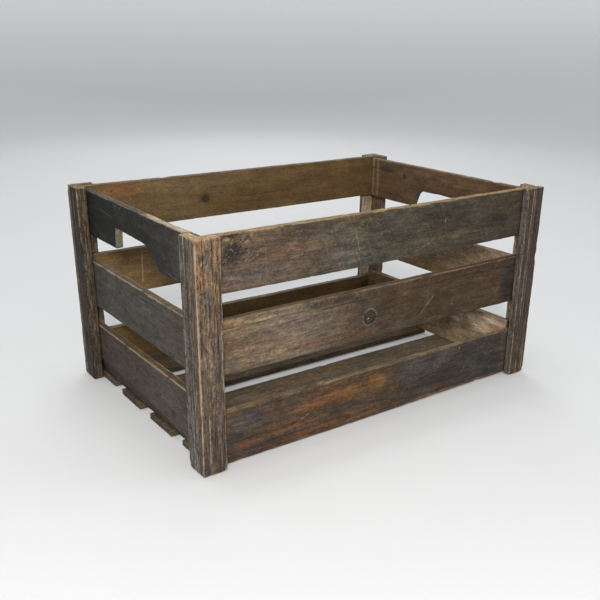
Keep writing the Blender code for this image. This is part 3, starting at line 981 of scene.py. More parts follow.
place = CratePlace("front_slat_middle")
add_board(
    "front_slat_middle", 5, edge_radius=1.3, bow=0.2, sag=0.3, waver=(1.3, 0.5),
    worn=(1.2, 0.4), saw=0.25, streak=0.40, flecks=0.5,
    cracks=(Crack(22.0, 120, 0.9, middle=place.along(80), wander=0.7),
            Crack(19.0, 90, 0.8, middle=place.along(195)),
            Crack(21.0, 150, 0.8, middle=place.along(370))),
    chips=place.rows((135, 160, 4.7, 4, 1.0), (162, 161, 4.7, 4, 1.1),
                     (186, 161, 4.0, 5, 1.4), (305, 162, 4.7, 4, 0.9)),
    paint=painter(
        outer=[(-1, (112, 86, 60)), (-0.86, (124, 100, 76)), (-0.5, (124, 108, 90)),
               (-0.15, (108, 94, 80)), (0.1, (100, 84, 66)), (0.45, (92, 74, 54)),
               (0.8, (84, 66, 50)), (1, (66, 54, 46))],
        inner=[(-1, (92, 76, 54)), (1, (90, 72, 50))],
        top=(128, 92, 52), bottom=(70, 58, 46), ends=(92, 80, 62), edge_gain=0.31,
        gain=((-1, (0.72, 0.78, 0.84)), (-0.6, (0.72, 0.79, 0.84)),
              (-0.25, (0.40, 0.365, 0.325)), (-0.02, (0.385, 0.36, 0.32)),
              (0.3, (0.42, 0.40, 0.35)), (0.8, (0.53, 0.55, 0.56)), (1, 0.58)),
        scuffs=place.rows(
            (150, 158, 26, 2.5, 0.7), (190, 158, 22, 3.0, 0.8), (222, 157, 14, 2.5, 0.6),
            (90, 159, 30, 2.0, 0.5), (300, 159, 40, 2.0, 0.5)),
        spots=place.rows(
            (36, 132, 8, 30, (130, 100, 70), 0.5), (44, 115, 8, 10, (88, 84, 80), 0.5),
            (120, 142, 50, 8, (120, 100, 90), 0.5), (150, 135, 40, 9, (118, 106, 94), 0.5),
            (165, 156, 34, 3.5, (84, 62, 50), 0.6), (200, 152, 30, 4, (86, 66, 50), 0.5),
            (160, 112, 60, 5, (120, 92, 62), 0.5), (265, 145, 26, 7, (110, 82, 54), 0.5),
            (260, 112, 30, 8, (96, 92, 86), 0.45), (330, 135, 60, 12, (96, 78, 54), 0.5),
            (400, 140, 40, 11, (94, 72, 50), 0.5), (430, 132, 10, 16, (112, 78, 46), 0.5),
            (446, 130, 9, 22, (62, 58, 60), 0.6))),
    look=dict(
        pith=(-3, -20), ring_gap=5.2, ring=0.22, worn_colour=(0.175, 0.118, 0.058), blotch=0.3,
        knot=place.row(221.8, 127.6, 9.4, 1), knot_tint=(0.060, 0.054, 0.044), knot_rim=0.42,
        scratches=place.lines(
            (296, 112, 322, 139, 0.7, 1, 0.7), (120, 108, 134, 116, 0.6, 1, 0.6),
            (351, 118, 352, 120, 1.2, 1, 0.9), (218.0, 124.4, 220.6, 127.4, 1.0, 1, 1.0))))


def bruise_low_arris(board, skin):
    """The low outer arris is bruised away along the right-hand half."""
    start, full = board.place.along(250), board.place.along(380)
    tall = 3.0 + 1.6 * fractal(skin.along / 22.0, 0.5, 0.5, 505)
    tall = tall * smooth(start, full, skin.along)
    up = (skin.across + board.width / 2) / np.maximum(tall, 0.3)
    skin.depth += 1.3 * ((skin.outward > 0) * np.clip(1 - up, 0, 1) * (tall > 0.4))


def paint_low_band(board, skin):
    """Pale band along the bruise, and a strip with a dark line by the right-hand batten."""
    spot = board.place.along
    outer = skin.outward > 0
    up = skin.across + board.width / 2 + 1.6 * skin.face_noise(18.0, 6.0, 506)
    band = outer * (1 - smooth(4.0, 5.4, up)) * smooth(spot(255), spot(330), skin.along)
    skin.paint(band, (112, 86, 62), 0.85)
    strip = outer * smooth(spot(449.5), spot(451), skin.along)
    skin.paint(strip * (1 - smooth(spot(460), spot(461), skin.along)), (70, 58, 50), 0.8)
    skin.dark = skin.dark + 0.55 * outer * np.exp(-(((skin.along - spot(450)) / 0.9) ** 2))
    skin.wear = skin.wear + 0.35 * band


place = CratePlace("front_slat_bottom")
add_board(
    "front_slat_bottom", 8, edge_radius=1.2, bow=0.3, waver=(0.9, 0.3), worn=(0.7, 0.8),
    saw=0.35, streak=0.55, flecks=0.6, shape=bruise_low_arris,
    cracks=(Crack(-8.0, 90, 1.0, end=-1), Crack(-19.0, 130, 0.8, middle=place.along(140)),
            Crack(6.0, 70, 0.8, middle=place.along(330))),
    chips=place.rows((345, 8, 4.7, 5, 1.1), (410, 3, 4.7, 4, 1.2), (150, 60, 4.7, 4, 0.7)),
    paint=painter(
        outer=[(-1, (88, 68, 52)), (-0.85, (82, 70, 62)), (-0.5, (84, 70, 58)),
               (-0.1, (92, 72, 52)), (0.2, (78, 68, 58)), (0.6, (68, 63, 58)),
               (1, (62, 56, 52))],
        inner=[(-1, (90, 80, 62)), (1, (86, 74, 56))],
        top=(130, 108, 80), bottom=(74, 60, 48), ends=(84, 74, 60), edge_gain=0.82,
        gain=((-1, (0.80, 0.74, 0.62)), (-0.5, (0.79, 0.73, 0.60)),
              (-0.1, (0.65, 0.66, 0.62)), (0.6, 0.70), (1, 0.70)),
        scuffs=place.rows((396, 4, 60, 3.0, 0.5), (120, 58, 60, 2.0, 0.4)),
        spots=place.rows(
            (33, 40, 4, 22, (104, 76, 50), 0.6), (60, 46, 24, 10, (64, 62, 70), 0.7),
            (45, 30, 14, 8, (60, 58, 66), 0.6), (110, 24, 30, 6, (104, 72, 50), 0.6),
            (75, 10, 30, 7, (66, 62, 66), 0.6), (60, 18, 16, 5, (114, 78, 48), 0.6),
            (140, 40, 24, 7, (114, 82, 50), 0.65), (185, 42, 26, 9, (122, 86, 50), 0.6),
            (165, 52, 30, 4, (82, 52, 42), 0.6), (190, 25, 30, 6, (66, 60, 60), 0.6),
            (236, 44, 13, 11, (132, 98, 56), 0.62), (262, 34, 10, 9, (112, 80, 50), 0.6),
            (120, 8, 50, 4, (96, 62, 44), 0.6), (300, 40, 40, 14, (72, 70, 68), 0.6),
            (370, 38, 50, 16, (70, 66, 64), 0.5), (425, 25, 22, 12, (50, 48, 50), 0.6),
            (330, 12, 26, 4, (98, 70, 46), 0.5)),
        extra=paint_low_band),
    look=dict(
        pith=(6, -26), ring_gap=4.4, worn_colour=(0.19, 0.145, 0.098), blotch=0.5,
        scratches=place.lines(
            (112, 18, 142, 33, 0.6, 1, 0.8), (378, 20, 392, 42, 0.6, 1, 0.5),
            (372, 55, 372, 58, 1.3, 1, 0.8))))


# ---------------------------------------------------------------- back slats

BACK_GAIN = ((-1, (0.84, 0.84, 0.73)), (0, (0.95, 0.93, 0.82)), (1, (1.10, 1.10, 0.90)))
BACK_SLATS = {
    "top": dict(
        seed=12, sag=-0.4, inner_gain=BACK_GAIN, knots=[(181.5, 215.6, 6.0, -1)],
        inner_spots=(
            (60, 240, 30, 8, (122, 86, 58), 0.55), (110, 242, 26, 5, (116, 98, 74), 0.5),
            (150, 232, 40, 8, (110, 94, 70), 0.5), (210, 240, 50, 7, (108, 92, 70), 0.5),
            (181.5, 215.6, 11, 8, (78, 62, 44), 0.6), (250, 205, 80, 9, (88, 68, 42), 0.5),
            (380, 230, 60, 12, (84, 64, 40), 0.4), (415, 238, 12, 10, (108, 74, 52), 0.4)),
        scratches=[(170, 236, 170, 222, 0.6, -1, 0.5)]),
    "middle": dict(
        seed=14, sag=0.3, inner_gain=((-1, (1.02, 0.98, 0.78)), (0, 0.95), (1, 0.95)), knots=[],
        inner_spots=[(60, 135, 60, 14, (112, 94, 68), 0.5)],
        scratches=[(85, 160, 83, 108, 1.3, -1, 0.95)]),
    "bottom": dict(
        seed=16, sag=0.0, inner_gain=BACK_GAIN, knots=[], inner_spots=(), scratches=()),
}

for level, slat in BACK_SLATS.items():
    node = "back_slat_" + level
    place = CratePlace(node)
    add_board(
        node, slat["seed"], edge_radius=1.0, bow=0.25, sag=slat["sag"], waver=(0.7, 0.5),
        worn=(0.75, 0.35), saw=0.3, streak=0.42, flecks=0.35,
        cracks=(Crack(9.0, 70, 1.1, end=1), Crack(-14.0, 60, 1.0, end=-1),
                Crack(-6.0, 90, 0.6, middle=30.0, side=-1)),
        chips=((-120.0, 28.0, 4.5, 5, 1.0), (90.0, -28.0, 4.5, 5, 0.9)),
        paint=painter(
            outer=[(-1, (96, 82, 70)), (-0.3, (88, 76, 64)), (0.3, (96, 80, 62)),
                   (1, (80, 70, 60))],
            inner=[(-1, (104, 80, 54)), (-0.6, (102, 84, 58)), (0.0, (92, 74, 49)),
                   (0.6, (88, 68, 44)), (1, (84, 66, 44))],
            top=(112, 100, 82), bottom=(70, 58, 44), ends=(88, 76, 60),
            spots=((-60.0, 8.0, 60, 12, (112, 86, 58), 0.5),
                   (70.0, -10.0, 50, 10, (70, 64, 62), 0.5),
                   (160.0, 12.0, 26, 12, (120, 86, 50), 0.5),
                   (-180.0, -8.0, 24, 16, (66, 60, 58), 0.5)),
            inner_spots=place.rows(*slat["inner_spots"]), inner_gain=slat["inner_gain"]),
        look=dict(pith=(5 - slat["seed"], -36), ring_gap=5.5, ring=0.14, fibre=0.26,
                  mottle=0.28, blotch=0.22, worn_colour=GREY_TAN, bump=0.7, dust=0.10,
                  knot=next(iter(place.rows(*slat["knots"])), None),
                  scratches=place.lines(*slat["scratches"])))


# ---------------------------------------------------------------- top end slats, with hand-holds

# Hand-hold outlines: (mm behind the crate's front, mm above the slat's low edge)
LEFT_HOLD = (
    (106.0, 0.0), (112.8, 3.4), (117.2, 6.8), (121.4, 11.2), (125.7, 15.7), (130.2, 19.0),
    (134.8, 21.3), (141.0, 22.6), (147.0, 23.0), (170.0, 23.6), (199.0, 24.4), (214.5, 24.8),
    (217.0, 23.4), (218.4, 12.0), (219.2, 0.0))
RIGHT_HOLD = (
    (106.0, 0.0), (108.5, 8.0), (111.5, 14.5), (115.5, 20.0), (120.5, 23.0), (126.0, 24.2),
    (160.0, 24.8), (199.0, 24.2), (203.5, 22.6), (207.5, 19.6), (211.5, 13.5), (214.0, 7.0),
    (216.2, 0.0))


def paint_hold(board, skin, cut_colour, start, end):
    """Saw-cut faces inside the hand-hold, paler on its steep sides."""
    distance = board.from_front(skin.along)
    floor = board.hold_line(skin.along)
    cut = (floor > -board.width / 2 - 1) & (skin.across - floor < 1.0)
    cut = cut & (distance > start) & (distance < end)
    steep = cut & ((distance > end - 4.0) | (distance < start + 24.0))
    skin.paint(cut * 1.0, cut_colour, 0.9)
    skin.paint(steep * 1.0, cut_colour, 0.9, gain=1.15)


def bruise_left_top(board, skin):
    """The top edge is bruised down between the front and the middle."""
    spot = board.place.along
    dip = (1.5 * np.exp(-(((skin.along - spot(95)) / 26.0) ** 2))
           + 0.8 * np.exp(-(((skin.along - spot(150)) / 14.0) ** 2)))
    dip = dip * (0.75 + 0.5 * fractal(skin.along / 7.0, 0.5, 0.5, 909))
    skin.depth += dip * smooth(board.width / 2 - 3.0, board.width / 2 - 0.5, skin.across)


def paint_left_top(board, skin):
    """The hand-hold, and bare pale wood along the front part of the top edge."""
    paint_hold(board, skin, (112, 106, 92), 105.0, 221.0)
    spot = board.place.along
    bare = smooth(board.width / 2 - 2.4, board.width / 2 - 0.4, skin.across)
    bare = bare * smooth(spot(40), spot(52), skin.along)
    bare = bare * (1 - smooth(spot(118), spot(150), skin.along))
    ragged = fractal(skin.along / 5.0, skin.across / 2.0, skin.outward / 3.0, 917)
    bare = bare * (0.55 + 0.6 * smooth(-0.35, 0.25, ragged))
    skin.paint(bare, (228, 208, 174), 0.9)
    skin.wear = skin.wear + 0.6 * bare


def paint_right_top(board, skin):
    """The hand-hold, and two pale bars down the inner face near the back."""
    paint_hold(board, skin, (66, 62, 55), 105.0, 218.0)
    for distance, strength in ((306.5, 1.0), (296.0, 0.75)):
        off = (skin.along - board.place.along(distance)) / 2.0
        bar = (skin.outward < 0) * np.exp(-(off**2))
        bar = bar * (0.62 + 0.5 * skin.face_noise(3.0, 7.0, 911))
        skin.paint(bar, (158, 138, 112), strength * 0.85)


place = CratePlace("left_end_slat_top")
add_board(
    "left_end_slat_top", 21, edge_radius=0.9, waver=(0.9, 0.4), worn=(0.85, 0.3), saw=0.95,
    streak=0.15, flecks=0.2, rough=1.25, shape=bruise_left_top,
    hold=LEFT_HOLD, hold_stations=((104, 150, 62), (208, 221, 60)),
    cracks=(Crack(14.0, 60, 0.9, end=1), Crack(4.0, 70, 0.7, middle=place.along(95))),
    chips=place.rows((130, 246, 4.0, 5, 1.0), (90, 246, 4.3, 5, 0.9),
                     (62, 200, 4.5, 6, 0.7), (180, 226, 4.6, 4, 0.4)),
    paint=painter(
        outer=[(-1, (70, 68, 66)), (-0.7, (62, 60, 56)), (-0.3, (54, 52, 48)),
               (0.2, (52, 51, 48)), (0.6, (44, 46, 43)), (1, (42, 43, 40))],
        inner=[(-1, (80, 66, 48)), (1, (84, 68, 48))],
        top=(104, 92, 74), bottom=(60, 54, 46), ends=(70, 64, 54), edge_gain=0.75,
        gain=((-1, 0.69), (-0.4, 0.56), (0.1, (0.30, 0.31, 0.285)), (1, (0.30, 0.335, 0.31))),
        scuffs=place.rows(
            (110, 243, 60, 2.5, 0.5), (180, 242, 40, 3.5, 0.7), (90, 215, 30, 14, 0.18)),
        spots=place.rows(
            (60, 215, 20, 16, (66, 66, 70), 0.6), (120, 232, 34, 7, (70, 66, 58), 0.5),
            (190, 232, 34, 5, (66, 62, 54), 0.45), (240, 225, 22, 12, (36, 40, 38), 0.6),
            (255, 205, 26, 6, (60, 56, 50), 0.45), (150, 222, 30, 5, (42, 42, 40), 0.5)),
        extra=paint_left_top),
    look=dict(
        pith=(0, -28), ring=0.12, saw_tilt=0.75, cool=(0.94, 1.0, 1.03),
        warm=(1.06, 1.0, 0.93), worn_colour=(0.22, 0.195, 0.16), bump=1.15, dust=0.16,
        grey=(0.085, 0.083, 0.075),
        scratches=place.lines((262, 230, 222, 226, 0.5, 1, 0.5),
                              (60, 192, 92, 196, 0.6, 1, 0.5))))

place = CratePlace("right_end_slat_top")
add_board(
    "right_end_slat_top", 23, edge_radius=0.9, waver=(0.8, 0.4), worn=(0.75, 0.35), saw=0.35,
    streak=0.4, flecks=0.45, hold=RIGHT_HOLD, hold_stations=((104, 130, 52), (196, 219, 52)),
    cracks=(Crack(16.0, 46, 0.9, end=1, side=-1), Crack(6.0, 60, 0.9, end=-1)),
    chips=place.rows((70, 246, 4.0, 5, 1.0), (262, 232, -4.6, 4, 0.6)),
    paint=painter(
        outer=[(-1, (84, 74, 64)), (0, (90, 76, 60)), (1, (78, 70, 62))],
        inner=[(-1, (78, 62, 46)), (-0.3, (80, 62, 44)), (0.4, (82, 64, 44)),
               (1, (84, 66, 46))],
        top=(112, 98, 78), bottom=(72, 60, 46), ends=(80, 70, 56), inner_gain=((0, 1.09),),
        inner_spots=place.rows(
            (236, 228, 16, 10, (100, 80, 62), 0.6), (200, 238, 18, 5, (104, 90, 70), 0.5),
            (280, 205, 24, 10, (88, 66, 42), 0.5), (275, 234, 14, 4, (52, 36, 24), 0.6),
            (120, 236, 40, 6, (96, 76, 54), 0.4)),
        extra=paint_right_top),
    look=dict(pith=(4, 30), ring=0.15, fibre=0.32, mottle=0.35, worn_colour=GREY_TAN,
              blotch=0.3, bump=0.8, knot=place.row(235.5, 228.4, 4.4, -1)))


# ---------------------------------------------------------------- lower end slats

# Height of the bark edge: (mm behind the crate's front, mm above the slat's low edge)
WANE = ((20, 2.5), (63, 4.8), (101, 10.5), (152, 14.2), (187, 15.5), (232, 17.4), (310, 19.5))


def up_wane(board, skin):
    """Height above the low edge, as a share of the bark edge's height."""
    tall = np.interp(board.from_front(skin.along), *zip(*WANE))
    tall = tall + 1.0 * fractal(skin.along / 16.0, 0.5, 0.5, 933)
    return (skin.across + board.width / 2) / tall


def shape_wane(board, skin):
    """Bark edge left on the low outer arris, wider towards the back."""
    up = np.clip(up_wane(board, skin), 0, 1)
    slope = (1 - up) ** 0.8 * (skin.outward > -1.0)
    scaly = 0.8 + 0.35 * skin.face_noise(9.0, 3.0, 934)
    step = 0.7 * (1 - smooth(0.93, 1.0, up)) * (skin.outward > 0)
    skin.depth += 2.6 * slope * scaly + step
    # Painted shade over the bark edge band
    skin.dark += 0.25 * (1 - smooth(0.9, 1.0, up)) * (skin.outward > 0)


def paint_wane(board, skin):
    # Dark bark colour over the bark edge, which also paints the shade of the band, with paler
    # patches on it
    bark_and_shade = (skin.outward > 0) * (1 - smooth(0.95, 1.03, up_wane(board, skin)))
    skin.paint(bark_and_shade, (50, 44, 38), 0.92)
    skin.paint(bark_and_shade * smooth(0.1, 0.6, skin.face_noise(8.0, 3.0, 935)), (84, 72, 54), 0.5)
    skin.saw = skin.saw * (1 - bark_and_shade)
    skin.wear = skin.wear * (1 - 0.6 * bark_and_shade)


LEFT_SLATS = {
    "middle": dict(
        seed=25, sag=0.4, chip_height=157, shape=None, paint=dict(
            outer=[(-1, (88, 82, 76)), (-0.5, (88, 84, 78)), (0.1, (82, 79, 74)),
                   (0.6, (78, 76, 71)), (1, (70, 68, 64))],
            top=(118, 102, 78), bottom=(58, 52, 46), edge_gain=0.66,
            gain=((-1, 0.54), (0, 0.59), (0.5, 0.80), (1, 0.84))),
        spots=(
            (110, 135, 50, 8, (96, 92, 86), 0.5), (70, 120, 24, 16, (92, 82, 74), 0.5),
            (230, 130, 30, 12, (78, 82, 80), 0.5), (160, 112, 50, 6, (74, 68, 64), 0.5),
            (120, 118, 2.2, 7, (58, 46, 44), 0.5), (60, 150, 30, 5, (112, 96, 78), 0.5))),
    "bottom": dict(
        seed=28, sag=0.0, chip_height=74, shape=shape_wane, paint=dict(
            outer=[(-1, (84, 76, 70)), (-0.4, (82, 74, 68)), (0.2, (78, 69, 62)),
                   (0.7, (72, 64, 58)), (1, (74, 62, 52))],
            top=(122, 96, 62), bottom=(40, 36, 32), edge_gain=0.52,
            gain=((-1, 0.645), (0, 0.72), (1, 0.80)), extra=paint_wane),
        spots=(
            (100, 52, 50, 8, (90, 82, 76), 0.45), (200, 60, 50, 6, (86, 76, 66), 0.4),
            (92, 30, 7, 5, (64, 46, 44), 0.6), (280, 62, 14, 9, (82, 60, 44), 0.5),
            (150, 36, 60, 6, (72, 62, 58), 0.5))),
}

for level, slat in LEFT_SLATS.items():
    node = "left_end_slat_" + level
    place = CratePlace(node)
    add_board(
        node, slat["seed"], edge_radius=1.1, sag=slat["sag"], waver=(0.9, 0.4),
        worn=(1.3, 0.45), saw=0.5, streak=0.30, flecks=0.35, shape=slat["shape"],
        cracks=(Crack(12.0, 60, 1.0, end=-1), Crack(20.0, 100, 0.7, middle=place.along(150)),
                Crack(-8.0, 50, 1.0, end=1)),
        chips=place.rows((100, slat["chip_height"], 4.0, 4, 0.9),
                         (210, slat["chip_height"], 4.0, 4, 0.8)),
        paint=painter(inner=[(-1, (88, 74, 52)), (1, (92, 76, 54))], ends=(74, 66, 56),
                      spots=place.rows(*slat["spots"]), **slat["paint"]),
        look=dict(pith=(7, -24), ring=0.15, fibre=0.42, cool=(0.92, 0.98, 1.06),
                  warm=(1.12, 1.0, 0.86), worn_colour=(0.30, 0.235, 0.155), blotch=0.28,
                  dust=0.15, saw_tilt=0.3))

RIGHT_SLATS = {
    "middle": dict(
        seed=31, sag=-0.3, dust=0.12, chip_height=158, spot_heights=(130, 126),
        inner_spots=(
            (70, 125, 40, 14, (108, 94, 80), 0.5), (130, 112, 44, 8, (86, 68, 48), 0.5))),
    "bottom": dict(
        seed=34, sag=0.0, dust=0.2, chip_height=69, spot_heights=(40, 34),
        inner_spots=(
            (66, 50, 18, 12, (138, 126, 114), 0.55), (110, 52, 13, 9, (146, 138, 126), 0.6),
            (90, 38, 10, 7, (86, 64, 46), 0.6), (40, 62, 16, 4, (150, 138, 126), 0.6),
            (150, 44, 20, 10, (130, 122, 110), 0.5), (84, 58, 9, 4, (150, 142, 132), 0.6))),
}

for level, slat in RIGHT_SLATS.items():
    node = "right_end_slat_" + level
    place = CratePlace(node)
    brown_height, grey_height = slat["spot_heights"]
    add_board(
        node, slat["seed"], edge_radius=1.0, sag=slat["sag"], waver=(0.8, 0.4),
        worn=(0.85, 0.35), saw=0.35, streak=0.4, flecks=0.55,
        cracks=(Crack(-10.0, 55, 1.0, end=-1), Crack(8.0, 46, 1.0, end=1),
                Crack(3.0, 80, 0.6, middle=place.along(120), side=-1)),
        chips=place.rows((80, slat["chip_height"], -4.0, 4, 0.9)),
        paint=painter(
            outer=[(-1, (82, 72, 62)), (0, (92, 78, 64)), (1, (78, 70, 62))],
            inner=[(-1, (96, 82, 66)), (-0.4, (100, 86, 70)), (0.3, (92, 76, 58)),
                   (1, (88, 70, 50))],
            top=(128, 108, 84), bottom=(62, 54, 44), ends=(76, 68, 56), edge_gain=0.9,
            spots=place.rows((100, brown_height, 50, 10, (104, 82, 58), 0.5),
                             (220, grey_height, 36, 12, (66, 62, 60), 0.5)),
            inner_spots=place.rows(*slat["inner_spots"]),
            # Inner faces brightened about twofold: painted light on faces the front slats shade
            inner_gain=((-1, (2.1, 2.1, 2.0)), (0, (1.9, 1.9, 1.8)), (1, 1.4))),
        look=dict(pith=(2, 26), ring=0.10, fibre=0.40, mottle=0.6, worn_colour=GREY_TAN,
                  blotch=0.25, dust=slat["dust"]))


# ---------------------------------------------------------------- floor boards

for i in range(1, 5):
    add_board(
        f"floor_board_{i}", 40 + 3 * i, step=2.4, edge_radius=0.9, edge_variation=0.8,
        waver=(0.7, 0.7), worn=(0.6, 0.6), saw=0.6, streak=0.4, flecks=0.4, end_waver=0.8,
        relief=1.2,
        cracks=(Crack(9.0, 60, 1.2, end=-1), Crack(-11.0, 80, 1.2, end=1),
                Crack(2.0 * i - 5, 40, 1.0, end=-1)),
        chips=((-233.0, -22.0 + 4 * i, 3.5, 3, 0.8), (120.0 - 50 * i, 26.0, 3.0, 4, 0.8)),
        paint=painter(
            outer=[(-1, (88, 76, 60)), (0, (84, 72, 54)), (1, (92, 80, 64))],
            inner=[(-1, (72, 62, 50)), (0, (80, 70, 56)), (1, (74, 64, 52))],
            top=(80, 68, 52), bottom=(80, 68, 52), ends=(70, 62, 50),
            spots=((-90.0 + 40 * i, 6.0, 60, 12, (98, 78, 54), 0.5),
                   (80.0 - 20 * i, -8.0, 70, 10, (70, 64, 58), 0.5),
                   (190.0, 0.0, 26, 16, (104, 92, 76), 0.4))),
        look=dict(pith=(3 * i - 8, -22 - 3 * i), ring_gap=4.0, ring=0.18, dust=0.2,
                  worn_colour=(0.25, 0.205, 0.15), saw_tilt=0.2 * i))


# ---------------------------------------------------------------- corner battens

# Shares, spots and scuffs run up the batten from its middle. end is the colour of its top end,
# pale the strength of its pale streaks, paint what differs from the other battens' paint.
BATTENS = {
    "front_batten_left": dict(
        seed=61, streak=0.95, worn=(1.05, 1.35), fibre=0.95, end=(186, 160, 118), paint=dict(
            outer=[(-1, (88, 74, 66)), (-0.5, (98, 82, 72)), (0.2, (112, 92, 76)),
                   (0.7, (122, 98, 76)), (1, (124, 100, 76))],
            gain=((-1, (0.49, 0.56, 0.61)), (0, (0.65, 0.69, 0.71)), (1, (0.56, 0.61, 0.67))),
            scuffs=((112, 3, 7, 5, 0.75), (102, -5, 8, 4, 1.0), (88, 9, 9, 3, 0.9),
                    (69, -5, 8, 4, 1.0), (52, 7, 9, 4, 0.8), (34, 6, 8, 4, 0.5),
                    (17, 3, 6, 4, 0.85), (-20, 2, 12, 6, 0.35), (98, 10, 12, 2, 0.8)))),
    "front_batten_right": dict(
        seed=64, streak=0.85, worn=(0.6, 0.95), paint=dict(
            outer=[(-1, (82, 72, 58)), (0, (82, 70, 60)), (0.6, (78, 68, 60)),
                   (1, (76, 66, 58))],
            bottom=(96, 90, 84), gain=((-1, (0.66, 0.64, 0.64)), (1, (0.66, 0.60, 0.58))),
            scuffs=((60, -12, 66, 3, 0.8), (-50, -12, 70, 3, 0.7), (90, 6, 30, 6, 0.4)),
            spots=((30, 3, 110, 2.2, (50, 42, 38), 0.7), (-20, 9, 90, 2.0, (60, 48, 42), 0.7),
                   (50, -4, 60, 1.8, (112, 92, 80), 0.5)))),
    "back_batten_left": dict(
        seed=67, streak=0.8, worn=(0.5, 0.7), paint=dict(
            outer=[(-1, (88, 78, 64)), (0, (92, 78, 62)), (1, (96, 82, 64))])),
    "back_batten_right": dict(
        seed=70, streak=0.7, worn=(0.7, 0.4), paint=dict(
            outer=[(-1, (90, 76, 60)), (0, (86, 74, 60)), (1, (92, 78, 62))],
            # Inner face brightened three- to fourfold, bluer: painted light on a face the slats
            # shade
            inner_gain=((0, (3.4, 3.7, 4.1)),))),
    "left_end_batten_front": dict(
        seed=73, streak=0.75, worn=(0.55, 0.35), fibre=1.2, end=(186, 160, 118), pale=0.75,
        paint=dict(
            outer=[(-1, (100, 88, 80)), (0, (94, 84, 78)), (0.6, (92, 82, 76)),
                   (1, (96, 88, 80))],
            # Bluer towards the bottom: painted blue bounce light
            gain=((-1, (0.82, 1.05, 1.30)), (0, (0.85, 0.86, 0.87)), (1, (0.63, 0.69, 0.66))),
            scuffs=((70, 0, 40, 9, 0.45), (-10, 2, 50, 8, 0.40), (-80, -2, 30, 9, 0.45)),
            spots=((70, -3, 60, 2.0, (58, 54, 50), 0.7), (20, 5, 80, 1.6, (122, 112, 100), 0.55),
                   (-40, -6, 60, 1.8, (62, 56, 52), 0.7), (-70, 3, 50, 1.6, (120, 110, 98), 0.5),
                   (90, 8, 40, 1.6, (116, 108, 96), 0.5)))),
    "left_end_batten_back": dict(
        seed=76, streak=0.9, worn=(0.35, 0.55), fibre=1.0, paint=dict(
            outer=[(-1, (72, 62, 54)), (0, (72, 62, 56)), (1, (70, 60, 52))], edge_gain=0.5,
            gain=((-1, (0.40, 0.42, 0.43)), (1, (0.235, 0.30, 0.35))),
            scuffs=((60, 0, 60, 8, 0.35), (-60, 0, 50, 8, 0.35)),
            spots=((40, 2, 90, 1.6, (112, 88, 76), 0.6), (-60, -5, 60, 1.5, (104, 84, 72), 0.5)))),
    "right_end_batten_front": dict(
        seed=79, streak=0.75, worn=(0.5, 0.35), paint=dict(
            outer=[(-1, (86, 76, 66)), (1, (84, 74, 64))],
            # Inner face brightened three- to fourfold, bluer: painted light on a face the front
            # slats shade
            inner_gain=((0, (3.0, 3.3, 3.7)),))),
    "right_end_batten_back": dict(
        seed=82, streak=0.75, worn=(0.35, 0.5), paint=dict(
            outer=[(-1, (84, 72, 58)), (1, (88, 76, 60))])),
}
# Patches on the front left batten: (below its top, across, half sizes, colour, strength)
FRONT_LEFT_PATCHES = ((24, 0.0, 14, 4, (84, 78, 76), 0.6), (42, -4.0, 8, 4.5, (130, 99, 72), 0.65),
                      (58, 0.0, 9, 4.5, (82, 82, 84), 0.65))


def paint_batten(board, skin):
    """Tan, dark and pale streaks up the batten, and a worn top end."""
    batten = BATTENS[board.node]
    half, streak = board.length / 2, board.streak
    band = skin.noise(150.0, 2.5, board.seed + 101, gain=0.6)
    skin.paint(smooth(0.10, 0.42, band), (110, 90, 70), 0.38 * streak)
    skin.paint(smooth(0.12, 0.45, -band), (60, 56, 56), 0.42 * streak)
    pale = skin.noise(110.0, 2.0, board.seed + 103, octaves=2)
    skin.paint(smooth(0.38, 0.62, pale), (168, 150, 124), batten.get("pale", 0.48) * streak)
    top = smooth(half - 1.0, half - 0.2, skin.along)
    skin.paint(top, batten.get("end", (126, 106, 76)), 0.8)
    skin.wear = skin.wear + 0.25 * smooth(half - 5, half, skin.along)
    if board.node == "front_batten_left":
        outer = skin.outward > 0
        skin.paint(smooth(0.35 * half, half, skin.along) * outer, (146, 110, 76), 0.30)
        for k, (below, *region, colour, strength) in enumerate(FRONT_LEFT_PATCHES):
            patch = skin.blob((half - below, *region), board.seed + 105 + k)
            skin.paint(patch * outer, colour, strength)


for node, batten in BATTENS.items():
    low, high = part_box(node)
    width = (high - low)[1 if "_end_" in node else 0] / MM
    batten_paint = dict(
        inner=[(-1, (94, 80, 62)), (0, (96, 82, 64)), (1, (96, 82, 64))],
        top=(96, 82, 68), bottom=(92, 80, 68), ends=(120, 104, 80), gain=((0, 0.8),),
        edge_gain=0.85, extra=paint_batten)
    batten_paint.update(batten["paint"])
    add_board(
        node, batten["seed"], step=1.9, cell=0.62, edge_radius=1.2, edge_variation=0.6,
        waver=(0.35, 0.35), end_waver=0.6, worn=batten["worn"], saw=0.12,
        streak=batten["streak"], flecks=0.7, relief=2.0, rough=1.1,
        cracks=(Crack(width * 0.16, 46, 1.6, end=1), Crack(-width * 0.22, 70, 1.4, end=1),
                Crack(width * 0.05, 60, 1.5, end=-1), Crack(width * 0.30, 90, 0.9, middle=20.0),
                Crack(-width * 0.08, 110, 0.9, middle=-50.0)),
        chips=((122.0, -width * 0.45, 4.0, 4, 0.9), (-121.0, width * 0.4, 4.0, 4, 1.0),
               (-60.0, -width * 0.48, 4.5, 4, 0.8), (35.0, width * 0.48, 4.5, 3.5, 0.8)),
        paint=painter(**batten_paint),
        look=dict(pith=(width * 0.8, -16), ring_gap=3.4, ring=0.22,
                  fibre=batten.get("fibre", 0.80), worn_colour=(0.31, 0.225, 0.145),
                  blotch=0.25, bump=1.2, warm=(1.09, 1.0, 0.90), cool=(0.92, 0.98, 1.02)))


# ---------------------------------------------------------------- nails

metal = nail_metal("old_nail_steel")
for name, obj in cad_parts.items():
    if name.startswith("nail_"):
        obj.data.materials.clear()
        obj.data.materials.append(metal)


